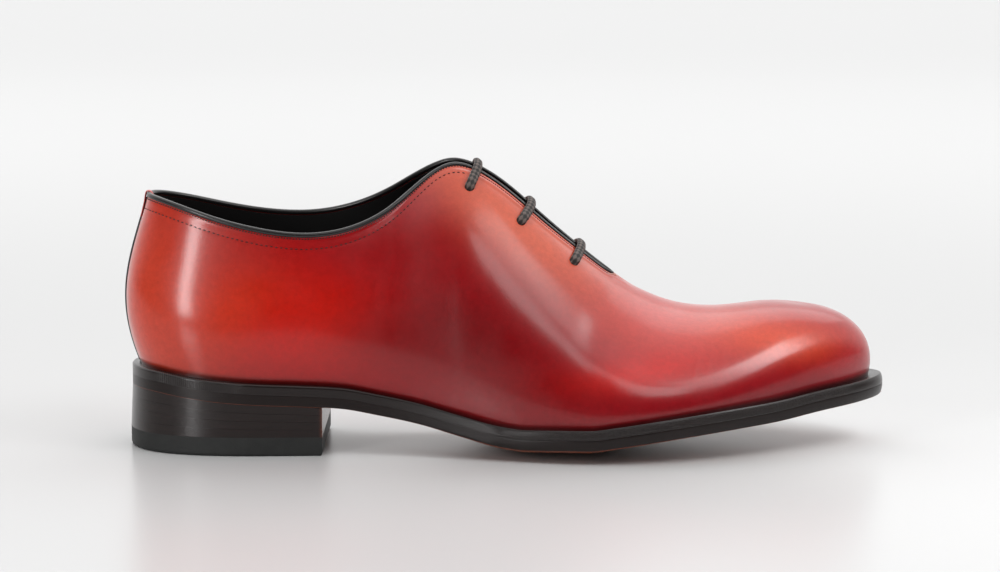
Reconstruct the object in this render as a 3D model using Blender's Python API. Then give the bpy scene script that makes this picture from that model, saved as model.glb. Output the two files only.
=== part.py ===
"""A whole cut oxford for the right foot, at its real size: metres, +X to the toe, +Z up.

The lateral side faces -Y and the medial side faces +Y. Heights are above the floor that the shoe
stands on. The tables give each section in percent of the named sizes beside them.
"""

import math
from collections import namedtuple

import bmesh
import bpy
import numpy as np
from mathutils import Matrix
from mathutils import Vector

# Driving sizes of the last and the sole
SOLE_LENGTH = 0.307
BALL_WIDTH = 0.108
THROAT_HEIGHT = 0.117
COLLAR_WIDTH = 0.054
SEAT_HEIGHT = 0.0252
TOE_SPRING = 0.0198

# Thicknesses and clearances
OUTSOLE_THICKNESS = 0.0042
WELT_THICKNESS = 0.0038
INSOLE_THICKNESS = 0.0025
WALL = 0.002
TONGUE_THICKNESS = 0.0016
GAP = 0.0003
BENT_GAP = 0.0006
FOOT_GAP = 0.00045

# The heel under the outsole
HEEL_LENGTH = 0.079
HEEL_FLARE = 0.0008
TOP_LIFT_THICKNESS = 0.0076
LIFT_COUNT = 4

# Trims on the upper's edges. The bead turns round the slit's tip over BEAD_TURN slit rounds, its two
# runs meet at BEAD_MEET radii from the middle, and its tip lies BEAD_TIP of their spacing ahead
PIPING_RADIUS = 0.0011
PIPING_SINK = 0.0002
BEAD_TURN = 1.4
BEAD_MEET = 0.9
BEAD_TIP = 0.45
BACK_SEAM_WIDTH = 0.0018
BACK_SEAM_RISE = 0.0007
BACK_SEAM_CREST = 0.6
BACK_SEAM_ENDS = 0.015

# The slit and its lacing. Rows, ends, closings and bends are in percent of SOLE_LENGTH, LACE_TURN in
# cords' widths
SLIT_WIDTH = 0.007
EYELET_BORE = 0.0048
EYELET_INSET = 0.0112
LACE_DIAMETER = 0.0028
LACE_ROWS = (45.7, 52.6, 59.3)
LACE_BYPASS = 0.0042
LACE_BEND = 1.0
LACE_TURN = 0.7
TONGUE_REACH = 0.022
TONGUE_TOP = 43.2
TONGUE_END = 67.5
TONGUE_NARROWING = 0.3
TONGUE_CLOSING = (2.0, 1.0)
CROWN_RISE = 0.12

# Mesh fineness. SLIT_STEPS are shares of SLIT_ROUND, THROAT_STEPS percents of SOLE_LENGTH, the four
# values after them shares of a side's length, and CUTTER_DEPTH is in walls
STATIONS = 38
SLIT_STEPS = (0.0, 0.12, 0.45, 1.0)
THROAT_STEPS = (-2.2, -1.2, -0.3, 0.7, 1.8)
TIP_CLEARANCE = 0.004
SLOPE_STEP = 0.004
NORMAL_STEP = 0.002
FRAME_STEP = 0.0015
CUTTER_DEPTH = 5.0
RISE_STEPS = 10
OUTLINE_STEPS = 1440
ACROSS_STEPS = 10
INSOLE_STEPS = 6
HEEL_STEPS = 4
TONGUE_ROWS = 16
TONGUE_COLUMNS = 6
TIP_POINTS = 9
CUTTER_SIDES = 12
ROUND_SIDES = 8
LACE_SIDES = 6

# Bottom outline: at in percent of SOLE_LENGTH, sides in percent of half BALL_WIDTH
Outline = namedtuple("Outline", "at lateral medial")
OUTLINE = (
    Outline(2.6, 39.8, 38.9),
    Outline(9.7, 61.1, 60.2),
    Outline(20.2, 63.9, 61.1),
    Outline(32.6, 63.5, 49.6),
    Outline(45.6, 79.6, 54.0),
    Outline(58.0, 99.6, 79.6),
    Outline(70.1, 100.0, 96.3),
    Outline(81.5, 79.6, 85.0),
    Outline(91.4, 49.1, 62.0),
    Outline(97.6, 20.4, 37.0),
)
TOE_SWING = 9.3

# Underside of the outsole: at in percent of SOLE_LENGTH, heel in percent of SEAT_HEIGHT, toe in
# percent of TOE_SPRING, and the lift of the edge over the centre in percent of SEAT_HEIGHT
Profile = namedtuple("Profile", "at heel toe lift")
PROFILE = (
    Profile(0.0, 100.0, 0.0, 0.0),
    Profile(3.0, 98.8, 0.0, 0.0),
    Profile(7.2, 93.0, 0.0, 0.0),
    Profile(12.4, 86.0, 0.0, 0.0),
    Profile(17.6, 81.8, 0.0, 0.0),
    Profile(22.9, 79.2, 0.0, 0.0),
    Profile(28.0, 73.5, 0.0, 2.4),
    Profile(33.2, 59.5, 0.0, 6.0),
    Profile(38.4, 43.7, 0.0, 9.9),
    Profile(43.6, 24.6, 0.0, 13.1),
    Profile(48.9, 6.3, 0.0, 17.5),
    Profile(52.5, 0.0, 0.0, 20.6),
    Profile(60.1, 0.0, 0.0, 22.8),
    Profile(64.2, 0.0, 9.0, 21.8),
    Profile(69.3, 0.0, 21.7, 20.6),
    Profile(74.6, 0.0, 34.8, 18.3),
    Profile(79.8, 0.0, 46.5, 15.9),
    Profile(85.0, 0.0, 58.6, 12.7),
    Profile(90.5, 0.0, 74.7, 9.5),
    Profile(96.4, 0.0, 90.4, 4.0),
    Profile(100.0, 0.0, 100.0, 0.0),
)
FLAT_SHARE = 0.2

# Feather line inset from the outline, in percent of half BALL_WIDTH
Feather = namedtuple("Feather", "at lateral medial")
FEATHER = (
    Feather(0.0, 6.5, 6.5),
    Feather(8.0, 7.0, 7.0),
    Feather(22.0, 7.4, 7.4),
    Feather(35.0, 6.5, 4.6),
    Feather(48.0, 7.6, 5.0),
    Feather(62.0, 9.3, 8.4),
    Feather(80.0, 9.6, 9.6),
    Feather(92.0, 10.2, 10.2),
    Feather(100.0, 11.0, 11.0),
)

# Sections of the upper. at and edge are percent of SOLE_LENGTH, at the feather line and at the top
# edge. half is percent of half COLLAR_WIDTH, tops are percent of THROAT_HEIGHT. The handles out and
# up are percent of the section's own height, crown is percent of half BALL_WIDTH. lean is the collar's
# slope and tilt the ridge's slope across the foot, in degrees.
Section = namedtuple(
    "Section", "at edge half top_lateral top_medial out_lateral up_lateral out_medial up_medial lean crown tilt"
)
SECTIONS = (
    Section(1.05, 2.3, 0.0, 86.2, 86.2, 16.5, 41.0, 16.5, 41.0, 74.0, 60.0, 0.0),
    Section(3.3, 3.8, 42.0, 85.6, 85.7, 13.0, 41.0, 13.0, 41.0, 75.0, 60.0, 0.0),
    Section(6.6, 6.9, 68.0, 83.4, 83.8, 9.0, 40.0, 9.0, 40.0, 76.0, 60.0, 0.0),
    Section(11.4, 11.5, 87.0, 79.7, 80.8, 7.0, 40.0, 8.0, 40.0, 77.0, 60.0, 0.0),
    Section(17.9, 17.9, 97.5, 75.8, 77.9, 7.0, 40.0, 9.0, 40.0, 77.0, 60.0, 0.0),
    Section(24.4, 24.4, 95.5, 74.3, 77.8, 7.5, 39.0, 12.0, 40.0, 76.0, 50.0, 2.0),
    Section(30.9, 30.9, 79.0, 77.6, 82.2, 8.0, 38.0, 15.0, 40.0, 70.0, 40.0, 4.0),
    Section(35.2, 35.2, 59.0, 83.8, 88.0, 8.0, 36.0, 16.0, 39.0, 60.0, 33.0, 6.0),
    Section(38.4, 38.4, 36.0, 90.9, 93.7, 8.0, 35.0, 16.0, 38.0, 45.0, 28.0, 7.0),
    Section(41.3, 41.3, 20.0, 96.2, 97.8, 8.0, 34.0, 16.0, 37.0, 30.0, 27.0, 8.0),
    Section(43.5, 43.5, 13.8, 97.1, 98.3, 8.0, 34.0, 15.0, 36.0, 20.0, 27.0, 8.0),
    Section(47.2, 47.5, 13.0, 92.6, 94.1, 8.0, 33.0, 14.0, 35.0, 14.0, 27.0, 8.0),
    Section(53.6, 54.1, 13.0, 78.7, 80.2, 8.0, 33.0, 12.0, 35.0, 12.0, 30.0, 8.0),
    Section(58.5, 59.0, 13.0, 68.2, 69.5, 8.0, 34.0, 11.0, 36.0, 12.0, 33.0, 7.0),
    Section(63.2, 63.5, 13.0, 59.4, 60.0, 9.0, 36.0, 10.0, 37.0, 10.0, 38.0, 5.0),
    Section(71.5, 71.1, 0.0, 49.5, 49.5, 10.0, 42.0, 10.0, 42.0, 0.0, 56.0, 2.0),
    Section(79.0, 77.8, 0.0, 47.4, 47.4, 12.0, 48.0, 11.0, 47.0, 0.0, 82.0, 0.0),
    Section(86.4, 83.5, 0.0, 48.8, 48.8, 13.0, 52.0, 12.0, 51.0, 0.0, 104.0, 0.0),
    Section(91.9, 86.9, 0.0, 48.7, 48.7, 14.0, 54.0, 13.5, 54.0, 0.0, 110.0, 0.0),
    Section(95.5, 88.3, 0.0, 48.3, 48.3, 14.0, 55.0, 14.0, 55.0, 0.0, 110.0, 0.0),
    Section(98.0, 88.4, 0.0, 48.3, 48.3, 14.0, 55.0, 14.0, 55.0, 0.0, 110.0, 0.0),
)
COLLAR_REACH = 0.6
CROWN_REACH_LIMIT = 0.7
OUTLINE_TURN = 0.015
THROAT_AT = 43.5
THROAT_BLEND = (42.5, 45.5)
CLOSING_FROM = 33.0
SLIT_END = 63.9
SLIT_LEVELLING = 5.0
SLIT_ROUND = 0.005
RIDGE_SWING = 10.0
RIDGE_SPAN = (50.0, 92.0)
TOE_ROWS = 4

LATERAL = -1
MEDIAL = 1
SIDES = (LATERAL, MEDIAL)


class Spline:
    """A smooth curve through the given knots, straight at its two ends."""

    def __init__(self, knots, values):
        self.knots = np.asarray(knots, float)
        self.values = np.asarray(values, float)
        steps = np.diff(self.knots)
        count = len(self.knots)
        system = np.eye(count)
        sides = np.zeros(count)
        for i in range(1, count - 1):
            system[i, i - 1] = steps[i - 1]
            system[i, i] = 2.0 * (steps[i - 1] + steps[i])
            system[i, i + 1] = steps[i]
            slopes = np.diff(self.values[i - 1 : i + 2]) / steps[i - 1 : i + 1]
            sides[i] = 6.0 * (slopes[1] - slopes[0])
        self.bends = np.linalg.solve(system, sides)

    def __call__(self, at):
        at = np.clip(at, self.knots[0], self.knots[-1])
        low = np.clip(np.searchsorted(self.knots, at, side="right") - 1, 0, len(self.knots) - 2)
        step = self.knots[low + 1] - self.knots[low]
        far = (at - self.knots[low]) / step
        near = 1.0 - far
        straight = near * self.values[low] + far * self.values[low + 1]
        bend = (near**3 - near) * self.bends[low] + (far**3 - far) * self.bends[low + 1]
        return straight + bend * step**2 / 6.0


def steady(knots, values, at):
    """A curve through the knots that never passes beyond its neighbours' values."""
    knots = np.asarray(knots, float)
    values = np.asarray(values, float)
    steps = np.diff(knots)
    rates = np.diff(values) / steps
    slopes = np.zeros(len(knots))
    for i in range(1, len(knots) - 1):
        if rates[i - 1] * rates[i] > 0.0:
            near = 2.0 * steps[i] + steps[i - 1]
            far = steps[i] + 2.0 * steps[i - 1]
            slopes[i] = (near + far) / (near / rates[i - 1] + far / rates[i])
    slopes[0] = rates[0]
    slopes[-1] = rates[-1]
    at = np.clip(at, knots[0], knots[-1])
    low = np.clip(np.searchsorted(knots, at, side="right") - 1, 0, len(knots) - 2)
    t = (at - knots[low]) / steps[low]
    return (
        (2 * t**3 - 3 * t**2 + 1) * values[low]
        + (t**3 - 2 * t**2 + t) * steps[low] * slopes[low]
        + (3 * t**2 - 2 * t**3) * values[low + 1]
        + (t**3 - t**2) * steps[low] * slopes[low + 1]
    )


def smooth_step(low, high, at):
    """From 0 at low to 1 at high, level at both ends."""
    t = np.clip((at - low) / (high - low), 0.0, 1.0)
    return t * t * (3.0 - 2.0 * t)


def unit(vectors):
    """The same directions at length one."""
    return vectors / np.maximum(np.linalg.norm(vectors, axis=-1, keepdims=True), 1e-12)


def closed_curve(points, count):
    """Evenly counted points on the smooth closed curve through the given points."""
    points = np.asarray(points, float)
    wrap = 4
    looped = np.concatenate([points[-wrap:], points, points[: wrap + 1]])
    chords = np.concatenate([[0.0], np.cumsum(np.linalg.norm(np.diff(looped, axis=0), axis=1))])
    start = chords[wrap]
    end = chords[-wrap - 1]
    at = np.linspace(start, end, count, endpoint=False)
    return np.stack([Spline(chords, looped[:, i])(at) for i in range(2)], axis=1)


def outline_curve():
    """The bottom outline as a dense closed loop: heel back, lateral side, toe, medial side."""
    half = BALL_WIDTH / 2.0
    lateral = [(row.at / 100 * SOLE_LENGTH, -row.lateral / 100 * half) for row in OUTLINE]
    medial = [(row.at / 100 * SOLE_LENGTH, row.medial / 100 * half) for row in OUTLINE]
    toe = [(SOLE_LENGTH, TOE_SWING / 100 * half)]
    return closed_curve([(0.0, 0.0)] + lateral + toe + medial[::-1], OUTLINE_STEPS)


def outward(loop):
    """Unit normals of a closed loop in plan, away from its middle."""
    along = unit(np.roll(loop, -1, axis=0) - np.roll(loop, 1, axis=0))
    return np.stack([along[:, 1], -along[:, 0]], axis=1) * loop_turn(loop)


def loop_turn(loop):
    """1 for a loop that runs against the clock seen from above, -1 for the other way."""
    after = np.roll(loop, -1, axis=0)
    return float(np.sign(np.sum(loop[:, 0] * after[:, 1] - after[:, 0] * loop[:, 1])))


def inset_loop(loop, extra=0.0):
    """The outline pulled in to the feather line, less or more by extra."""
    at = loop[:, 0] / SOLE_LENGTH * 100
    rows = [row.at for row in FEATHER]
    lateral = steady(rows, [row.lateral for row in FEATHER], at)
    medial = steady(rows, [row.medial for row in FEATHER], at)
    share = np.where(loop[:, 1] < 0.0, lateral, medial) / 100
    return loop - outward(loop) * (share * BALL_WIDTH / 2.0 + extra)[:, None]


class Side:
    """One side of a closed loop, from its rearmost to its foremost point."""

    def __init__(self, loop, side):
        back = int(np.argmin(loop[:, 0]))
        loop = np.roll(loop, -back, axis=0)
        front = int(np.argmax(loop[:, 0]))
        forward = loop[: front + 1]
        returning = np.concatenate([loop[front:], loop[:1]])[::-1]
        lower_first = forward[len(forward) // 2, 1] < returning[len(returning) // 2, 1]
        self.points = forward if (side == LATERAL) == lower_first else returning
        normals = outward(loop)
        first = normals[: front + 1]
        second = np.concatenate([normals[front:], normals[:1]])[::-1]
        self.normals = first if (side == LATERAL) == lower_first else second
        steps = np.linalg.norm(np.diff(self.points, axis=0), axis=1)
        lengths = np.concatenate([[0.0], np.cumsum(steps)])
        self.shares = lengths / lengths[-1]

    def x_at(self, share):
        """The place along the shoe after this share of the side's length."""
        return np.interp(share, self.shares, self.points[:, 0])

    def share_at(self, x):
        """The share of the side's length at this place along the shoe."""
        return np.interp(x, self.points[:, 0], self.shares)

    def y_at(self, x):
        """The distance across the shoe at this place along it."""
        return np.interp(x, self.points[:, 0], self.points[:, 1])

    def normal_at(self, x):
        """The outward normal in plan at this place along the shoe."""
        return unit(np.stack([np.interp(x, self.points[:, 0], self.normals[:, i]) for i in range(2)], axis=-1))


OUTER = outline_curve()
OUTER_SIDES = {side: Side(OUTER, side) for side in SIDES}
FEATHER_SIDES = {side: Side(inset_loop(OUTER), side) for side in SIDES}
FEATHER_BACK = float(FEATHER_SIDES[LATERAL].points[0, 0])
FEATHER_FRONT = float(FEATHER_SIDES[LATERAL].points[-1, 0])


def underside(x, y):
    """Height of the outsole's underside: the long profile, and the edges lifted over the middle."""
    at = np.clip(x / SOLE_LENGTH * 100, 0.0, 100.0)
    rows = [row.at for row in PROFILE]
    heel = steady(rows, [row.heel for row in PROFILE], at) / 100 * SEAT_HEIGHT
    toe = steady(rows, [row.toe for row in PROFILE], at) / 100 * TOE_SPRING
    lift = steady(rows, [row.lift for row in PROFILE], at) / 100 * SEAT_HEIGHT
    low = OUTER_SIDES[LATERAL].y_at(x)
    high = OUTER_SIDES[MEDIAL].y_at(x)
    half = np.maximum((high - low) / 2.0, 1e-6)
    off = np.clip(np.abs(y - (low + high) / 2.0) / half, 0.0, 1.2)
    rise = np.maximum(off - FLAT_SHARE, 0.0) / (1.0 - FLAT_SHARE)
    return heel + toe + lift * rise**2


def feather_height(x, y):
    """Height of the welt's top face, where the upper comes out of the seam."""
    return underside(x, y) + OUTSOLE_THICKNESS + GAP + WELT_THICKNESS


class Upper:
    """The upper's outer surface. u runs from heel to toe along a side and t from the seam to the edge."""

    def __init__(self):
        lateral = FEATHER_SIDES[LATERAL]
        span = SECTIONS[-1].at - SECTIONS[0].at
        reach = FEATHER_FRONT - FEATHER_BACK
        places = [FEATHER_BACK + reach * (row.at - SECTIONS[0].at) / span for row in SECTIONS]
        self.shares = lateral.share_at(places)
        self.shares[0] = 0.0
        self.shares[-1] = 1.0
        self.columns = {}
        for name in Section._fields[1:]:
            values = np.array([getattr(row, name) for row in SECTIONS])
            turn = -1.0 if name == "half" else 1.0
            knots = np.concatenate([-self.shares[:0:-1], self.shares, 2.0 - self.shares[-2::-1]])
            mirrored = np.concatenate([turn * values[:0:-1], values, values[-2::-1]])
            self.columns[name] = Spline(knots, mirrored)
        self.slit_share = float(self.share_of_edge(SLIT_END))

    def share_of_edge(self, at):
        """The station whose top edge lies at this percent of the sole's length."""
        shares = np.linspace(0.0, 1.0, 4001)
        return np.interp(at, np.maximum.accumulate(self.columns["edge"](shares)), shares)

    def half_gap(self, u):
        """Half the opening across the foot: the collar, then the slit with its round end."""
        slit = SLIT_WIDTH / 2.0
        collar = np.maximum(self.columns["half"](u) / 100 * COLLAR_WIDTH / 2.0, 0.0)
        left = (SLIT_END - self.columns["edge"](u)) / 100 * SOLE_LENGTH
        end = np.clip(1.0 - left / SLIT_ROUND, 0.0, 1.0)
        closing = slit * np.sqrt(np.maximum(1.0 - end**2, 0.0))
        past_throat = smooth_step(*THROAT_BLEND, self.columns["edge"](u))
        half = (1.0 - past_throat) * collar + past_throat * closing
        return np.where(u >= self.slit_share - 1e-9, 0.0, half)

    def edge(self, u, side):
        """The top edge: around the collar, down the slit, then the closed ridge of the vamp."""
        u = np.asarray(u, float)
        x = self.columns["edge"](u) / 100 * SOLE_LENGTH
        tops = "top_lateral" if side == LATERAL else "top_medial"
        z = self.columns[tops](u) / 100 * THROAT_HEIGHT
        ridge = 0.5 * (self.columns["top_lateral"](u) + self.columns["top_medial"](u)) / 100 * THROAT_HEIGHT
        closing = smooth_step(SLIT_END - SLIT_LEVELLING, SLIT_END, self.columns["edge"](u))
        z = z + (ridge - z) * closing
        middle = RIDGE_SWING / 100 * BALL_WIDTH / 2.0 * smooth_step(*RIDGE_SPAN, x / SOLE_LENGTH * 100)
        return np.stack([x, middle + side * self.half_gap(u), z], axis=-1)

    def ridge_slope(self, u):
        """How steeply the top edge climbs towards the toe."""
        low = np.clip(u - SLOPE_STEP, 0.0, self.pole_share())
        high = np.clip(u + SLOPE_STEP, low + SLOPE_STEP, 1.0)
        first = self.edge(low, LATERAL)
        second = self.edge(high, LATERAL)
        run = np.maximum(second[..., 0] - first[..., 0], 1e-5)
        return (second[..., 2] - first[..., 2]) / run

    def pole_share(self):
        """The station where the ridge ends and the toe's sections fan out from one point."""
        return float(self.shares[-TOE_ROWS])

    def handles(self, u, side):
        """The four points that bend each section line."""
        u = np.asarray(u, float)
        line = FEATHER_SIDES[side]
        x = FEATHER_SIDES[LATERAL].x_at(u)
        y = line.y_at(x)
        start = np.stack([x, y, feather_height(x, y)], axis=-1)
        normal = line.normal_at(x)
        end = self.edge(u, side)
        height = (end - start)[..., 2]
        name = "lateral" if side == LATERAL else "medial"
        out = self.columns["out_" + name](u) / 100 * height
        up = self.columns["up_" + name](u) / 100 * height
        low = start.copy()
        low[..., :2] += normal * out[..., None]
        low[..., 2] += up
        across = unit((start - end)[..., :2] + normal * OUTLINE_TURN)
        crown = self.columns["crown"](u) / 100 * BALL_WIDTH / 2.0
        closed = smooth_step(CLOSING_FROM, THROAT_AT, self.columns["edge"](u))
        tilt = np.arcsin(np.clip(self.half_gap(u) / crown, 0.0, 0.9))
        tilt = tilt - side * np.radians(self.columns["tilt"](u))
        lean = (1.0 - closed) * np.radians(self.columns["lean"](u)) + closed * tilt
        slope = self.ridge_slope(u) * closed
        aim = np.concatenate([across * np.cos(lean)[..., None], -np.sin(lean)[..., None]], axis=-1)
        aim[..., 2] += slope * aim[..., 0]
        aim = unit(aim)
        chord = low - end
        length = np.linalg.norm(chord, axis=-1)
        drop = np.linalg.norm(chord - np.sum(chord * aim, axis=-1)[..., None] * aim, axis=-1)
        round_reach = np.sqrt(drop * crown * 2.0 / 3.0)
        limited = np.minimum(round_reach, CROWN_REACH_LIMIT * length)
        reach = (1.0 - closed) * COLLAR_REACH * length + closed * limited
        return start, low, end + aim * reach[..., None], end

    def point(self, u, side, t):
        """Points on the outer surface."""
        u, t = np.broadcast_arrays(np.asarray(u, float), np.asarray(t, float))
        start, low, high, end = self.handles(u, side)
        s = 1.0 - t[..., None]
        t = t[..., None]
        return s**3 * start + 3 * s**2 * t * low + 3 * s * t**2 * high + t**3 * end

    def normal(self, u, side, t):
        """Outward unit normals of the outer surface."""
        step = NORMAL_STEP
        u, t = np.broadcast_arrays(np.asarray(u, float), np.asarray(t, float))
        low_u = np.clip(u - step, 0.0, 1.0 - 2 * step)
        low_t = np.clip(t - step, 0.0, 1.0 - 2 * step)
        along = self.point(low_u + 2 * step, side, t) - self.point(low_u, side, t)
        rising = self.point(u, side, low_t + 2 * step) - self.point(u, side, low_t)
        return unit(np.cross(along, rising)) * -side

    def offset(self, u, side, t, depth):
        """Points at this depth under the outer surface, or over it where depth is negative."""
        return self.point(u, side, t) - self.normal(u, side, t) * np.asarray(depth)[..., None]

    def edge_frame(self, u, side):
        """The top edge's point, the direction beyond it over the opening, and the outward normal."""
        u = np.asarray(u, float)
        low = np.clip(u - FRAME_STEP, 0.0, self.slit_share - 2 * FRAME_STEP)
        along = unit(self.edge(low + 2 * FRAME_STEP, side) - self.edge(low, side))
        normal = self.normal(u, side, np.ones_like(u))
        normal = unit(normal - np.sum(normal * along, axis=-1)[..., None] * along)
        beyond = np.cross(along, normal) * side
        return self.edge(u, side), beyond, normal

    def square_to_edge(self, at, side, distance):
        """The station and rise reached by walking square to the slit, this far down from its edge."""
        u = float(self.share_of_edge(at))
        slit = unit(self.edge(u + 0.01, side) - self.edge(u - 0.01, side))
        t = 1.0
        left = distance
        while left > 1e-7:
            step = min(left, 0.001)
            du = (self.point(u + 0.001, side, t) - self.point(u - 0.001, side, t)) / 0.002
            dt = (self.point(u, side, t) - self.point(u, side, t - 0.002)) / 0.002
            turn = -np.dot(dt, slit) / np.dot(du, slit)
            length = np.linalg.norm(turn * du + dt)
            u -= turn * step / length
            t -= step / length
            left -= step
        return u, t


UPPER = Upper()


def stations():
    """Evenly spaced section places, with closer ones round the throat's corner and the slit's end."""
    shares = np.linspace(0.0, 1.0, STATIONS + 1)
    rounds = [SLIT_END - SLIT_ROUND / SOLE_LENGTH * 100 * share for share in SLIT_STEPS]
    rounds += [THROAT_AT + step for step in THROAT_STEPS]
    extra = np.array([float(UPPER.share_of_edge(at)) for at in rounds])
    extra[0] = UPPER.slit_share
    spaced = [share for share in shares if np.min(np.abs(extra - share)) > 0.5 / STATIONS]
    return np.array(sorted(set(spaced) | set(extra)))


def colour(red, green, blue):
    """A linear colour from shares of full strength as the eye sees them."""
    return tuple(((c + 0.055) / 1.055) ** 2.4 if c > 0.04 else c / 12.92 for c in (red, green, blue)) + (1.0,)


def material(name, rgb, roughness, coat=0.0):
    """A plain surface finish with the part's colour."""
    made = bpy.data.materials.new(name)
    made.use_nodes = True
    shader = made.node_tree.nodes["Principled BSDF"]
    shader.inputs["Base Color"].default_value = colour(*rgb)
    shader.inputs["Roughness"].default_value = roughness
    shader.inputs["Metallic"].default_value = 0.0
    shader.inputs["Coat Weight"].default_value = coat
    return made


def add_object(name, mesh, finish, parent, smooth=True):
    """A named piece from a mesh, with its own finish."""
    piece = bpy.data.objects.new(name, mesh)
    bpy.context.scene.collection.objects.link(piece)
    piece.parent = parent
    mesh.materials.append(finish)
    if smooth:
        mesh.shade_smooth()
        mesh.set_sharp_from_angle(angle=math.radians(35))
    return piece


def mesh_from_grids(name, grids):
    """One welded mesh from grids of points, each a list of rows."""
    shape = bmesh.new()
    for grid in grids:
        rows = [[shape.verts.new(Vector(point)) for point in row] for row in grid]
        for low, high in zip(rows, rows[1:]):
            join_rows(shape, low, high, False)
    return finished_mesh(name, shape)


def finished_mesh(name, shape):
    """A mesh with its seams welded, no collapsed faces, and every face turned outwards."""
    bmesh.ops.remove_doubles(shape, verts=shape.verts, dist=2e-6)
    bmesh.ops.dissolve_degenerate(shape, edges=shape.edges, dist=2e-6)
    bmesh.ops.triangulate(shape, faces=shape.faces)
    bmesh.ops.recalc_face_normals(shape, faces=shape.faces)
    mesh = bpy.data.meshes.new(name)
    shape.to_mesh(mesh)
    shape.free()
    return mesh


def swept(name, path, ups, profile, closed):
    """A profile carried along a path, its second axis held towards ups."""
    path = np.asarray(path, float)
    if closed:
        along = unit(np.roll(path, -1, axis=0) - np.roll(path, 1, axis=0))
    else:
        along = unit(np.gradient(path, axis=0))
    ups = np.asarray(ups, float)
    ups = unit(ups - np.sum(ups * along, axis=1)[:, None] * along)
    across = np.cross(along, ups)
    rings = [p + profile[:, :1] * a + profile[:, 1:] * u for p, a, u in zip(path, across, ups)]
    shape = bmesh.new()
    rows = [[shape.verts.new(Vector(point)) for point in ring] for ring in rings]
    for row in rows:
        row.append(row[0])
    for low, high in zip(rows, rows[1:] + rows[:1] if closed else rows[1:]):
        join_rows(shape, low, high, False)
    if not closed:
        shape.faces.new(rows[0][:-1])
        shape.faces.new(rows[-1][:-1])
    return finished_mesh(name, shape)


def carried_ups(path):
    """Side directions along a path that never twist about it."""
    along = unit(np.gradient(path, axis=0))
    up = unit(np.cross(along[0], np.array([0.0, 1.0, 0.2])))
    ups = []
    for direction in along:
        up = unit(up - np.dot(up, direction) * direction)
        ups.append(up)
    return np.array(ups)


def round_profile(radius, sides):
    """A circle for a swept cord or bead."""
    turns = np.arange(sides) * 2.0 * math.pi / sides
    return np.stack([radius * np.cos(turns), radius * np.sin(turns)], axis=1)


def smooth_path(points, spacing):
    """Points at this spacing on the smooth curve through the given ones."""
    points = np.asarray(points, float)
    chords = np.concatenate([[0.0], np.cumsum(np.linalg.norm(np.diff(points, axis=0), axis=1))])
    at = np.linspace(0.0, chords[-1], int(chords[-1] / spacing) + 1)
    return np.stack([Spline(chords, points[:, i])(at) for i in range(3)], axis=1)


def join_rows(shape, low, high, flip):
    """Four sided faces between two rows of vertices."""
    for i in range(len(low) - 1):
        corners = [low[i], low[i + 1], high[i + 1], high[i]]
        shape.faces.new(corners[::-1] if flip else corners)


def plate_sides(inset, shares):
    """Places along the shoe, and both edges there, at the outline or inset from the feather line."""
    loop = OUTER if inset is None else inset_loop(OUTER, inset)
    sides = {side: Side(loop, side) for side in SIDES}
    x = sides[LATERAL].x_at(shares)
    return x, sides[LATERAL].y_at(x), sides[MEDIAL].y_at(x)


def plate(name, edges, low, high, steps=ACROSS_STEPS):
    """A solid between two height functions, over the plan between its lateral and medial edges."""
    x, lateral, medial = edges
    across = np.linspace(0.0, 1.0, steps + 1)
    xs = np.repeat(x[:, None], len(across), axis=1)
    ys = lateral[:, None] + (medial - lateral)[:, None] * across
    under = np.stack([xs, ys, low(xs, ys)], axis=-1)
    over = np.stack([xs, ys, high(xs, ys)], axis=-1)
    ends = [[under[0], over[0]], [under[-1], over[-1]]]
    walls = [[under[:, 0], over[:, 0]], [under[:, -1], over[:, -1]]]
    return mesh_from_grids(name, [under, over] + walls + ends)


def sole_shares():
    """Section places of the sole's plates, with one at the heel's breast and one at each flat edge."""
    side = OUTER_SIDES[LATERAL]
    shares = np.linspace(0.0, 1.0, STATIONS + 1)
    flats = [row.at / 100 * SOLE_LENGTH for row in PROFILE if row.heel == 0.0 and row.toe == 0.0]
    for x in [HEEL_LENGTH] + flats:
        wanted = float(side.share_at(x))
        shares[np.argmin(np.abs(shares - wanted))] = wanted
    return shares


def over_sole(rise):
    """A height function at this much over the outsole's underside."""
    return lambda x, y: underside(x, y) + rise


def level_at(height):
    """A height function that is the same all over."""
    return lambda x, y: 0.0 * x + height


def ring_points(inset, shares):
    """A closed loop of plan points, lateral side first and then back along the medial side."""
    x, low, high = plate_sides(inset, shares)
    lateral = np.stack([x, low], axis=1)
    medial = np.stack([x, high], axis=1)[::-1]
    return np.concatenate([lateral, medial[1:]])


def build_outsole(finish, parent):
    """The leather outsole: the whole outline, bent to the last's underside."""
    mesh = plate("outsole", plate_sides(None, sole_shares()), over_sole(0.0), over_sole(OUTSOLE_THICKNESS))
    return add_object("outsole", mesh, finish, parent)


def build_insole(finish, parent):
    """The insole that closes the upper from below, inside its wall."""
    low = OUTSOLE_THICKNESS + BENT_GAP
    edges = plate_sides(WALL + BENT_GAP, sole_shares())
    mesh = plate("insole", edges, over_sole(low), over_sole(low + INSOLE_THICKNESS), INSOLE_STEPS)
    return add_object("insole", mesh, finish, parent)


def build_welt(finish, parent):
    """The welt and its rand: a flat strip all round between the outsole's edge and the upper."""
    outer = ring_points(None, sole_shares())
    inner = ring_points(-GAP, sole_shares())
    low = OUTSOLE_THICKNESS + GAP
    corners = []
    for loop, rise in ((outer, low), (outer, low + WELT_THICKNESS), (inner, low + WELT_THICKNESS), (inner, low)):
        heights = underside(loop[:, 0], loop[:, 1]) + rise
        corners.append(np.concatenate([loop, heights[:, None]], axis=1))
    corners.append(corners[0])
    return add_object("welt", mesh_from_grids("welt", [corners]), finish, parent)


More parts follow.
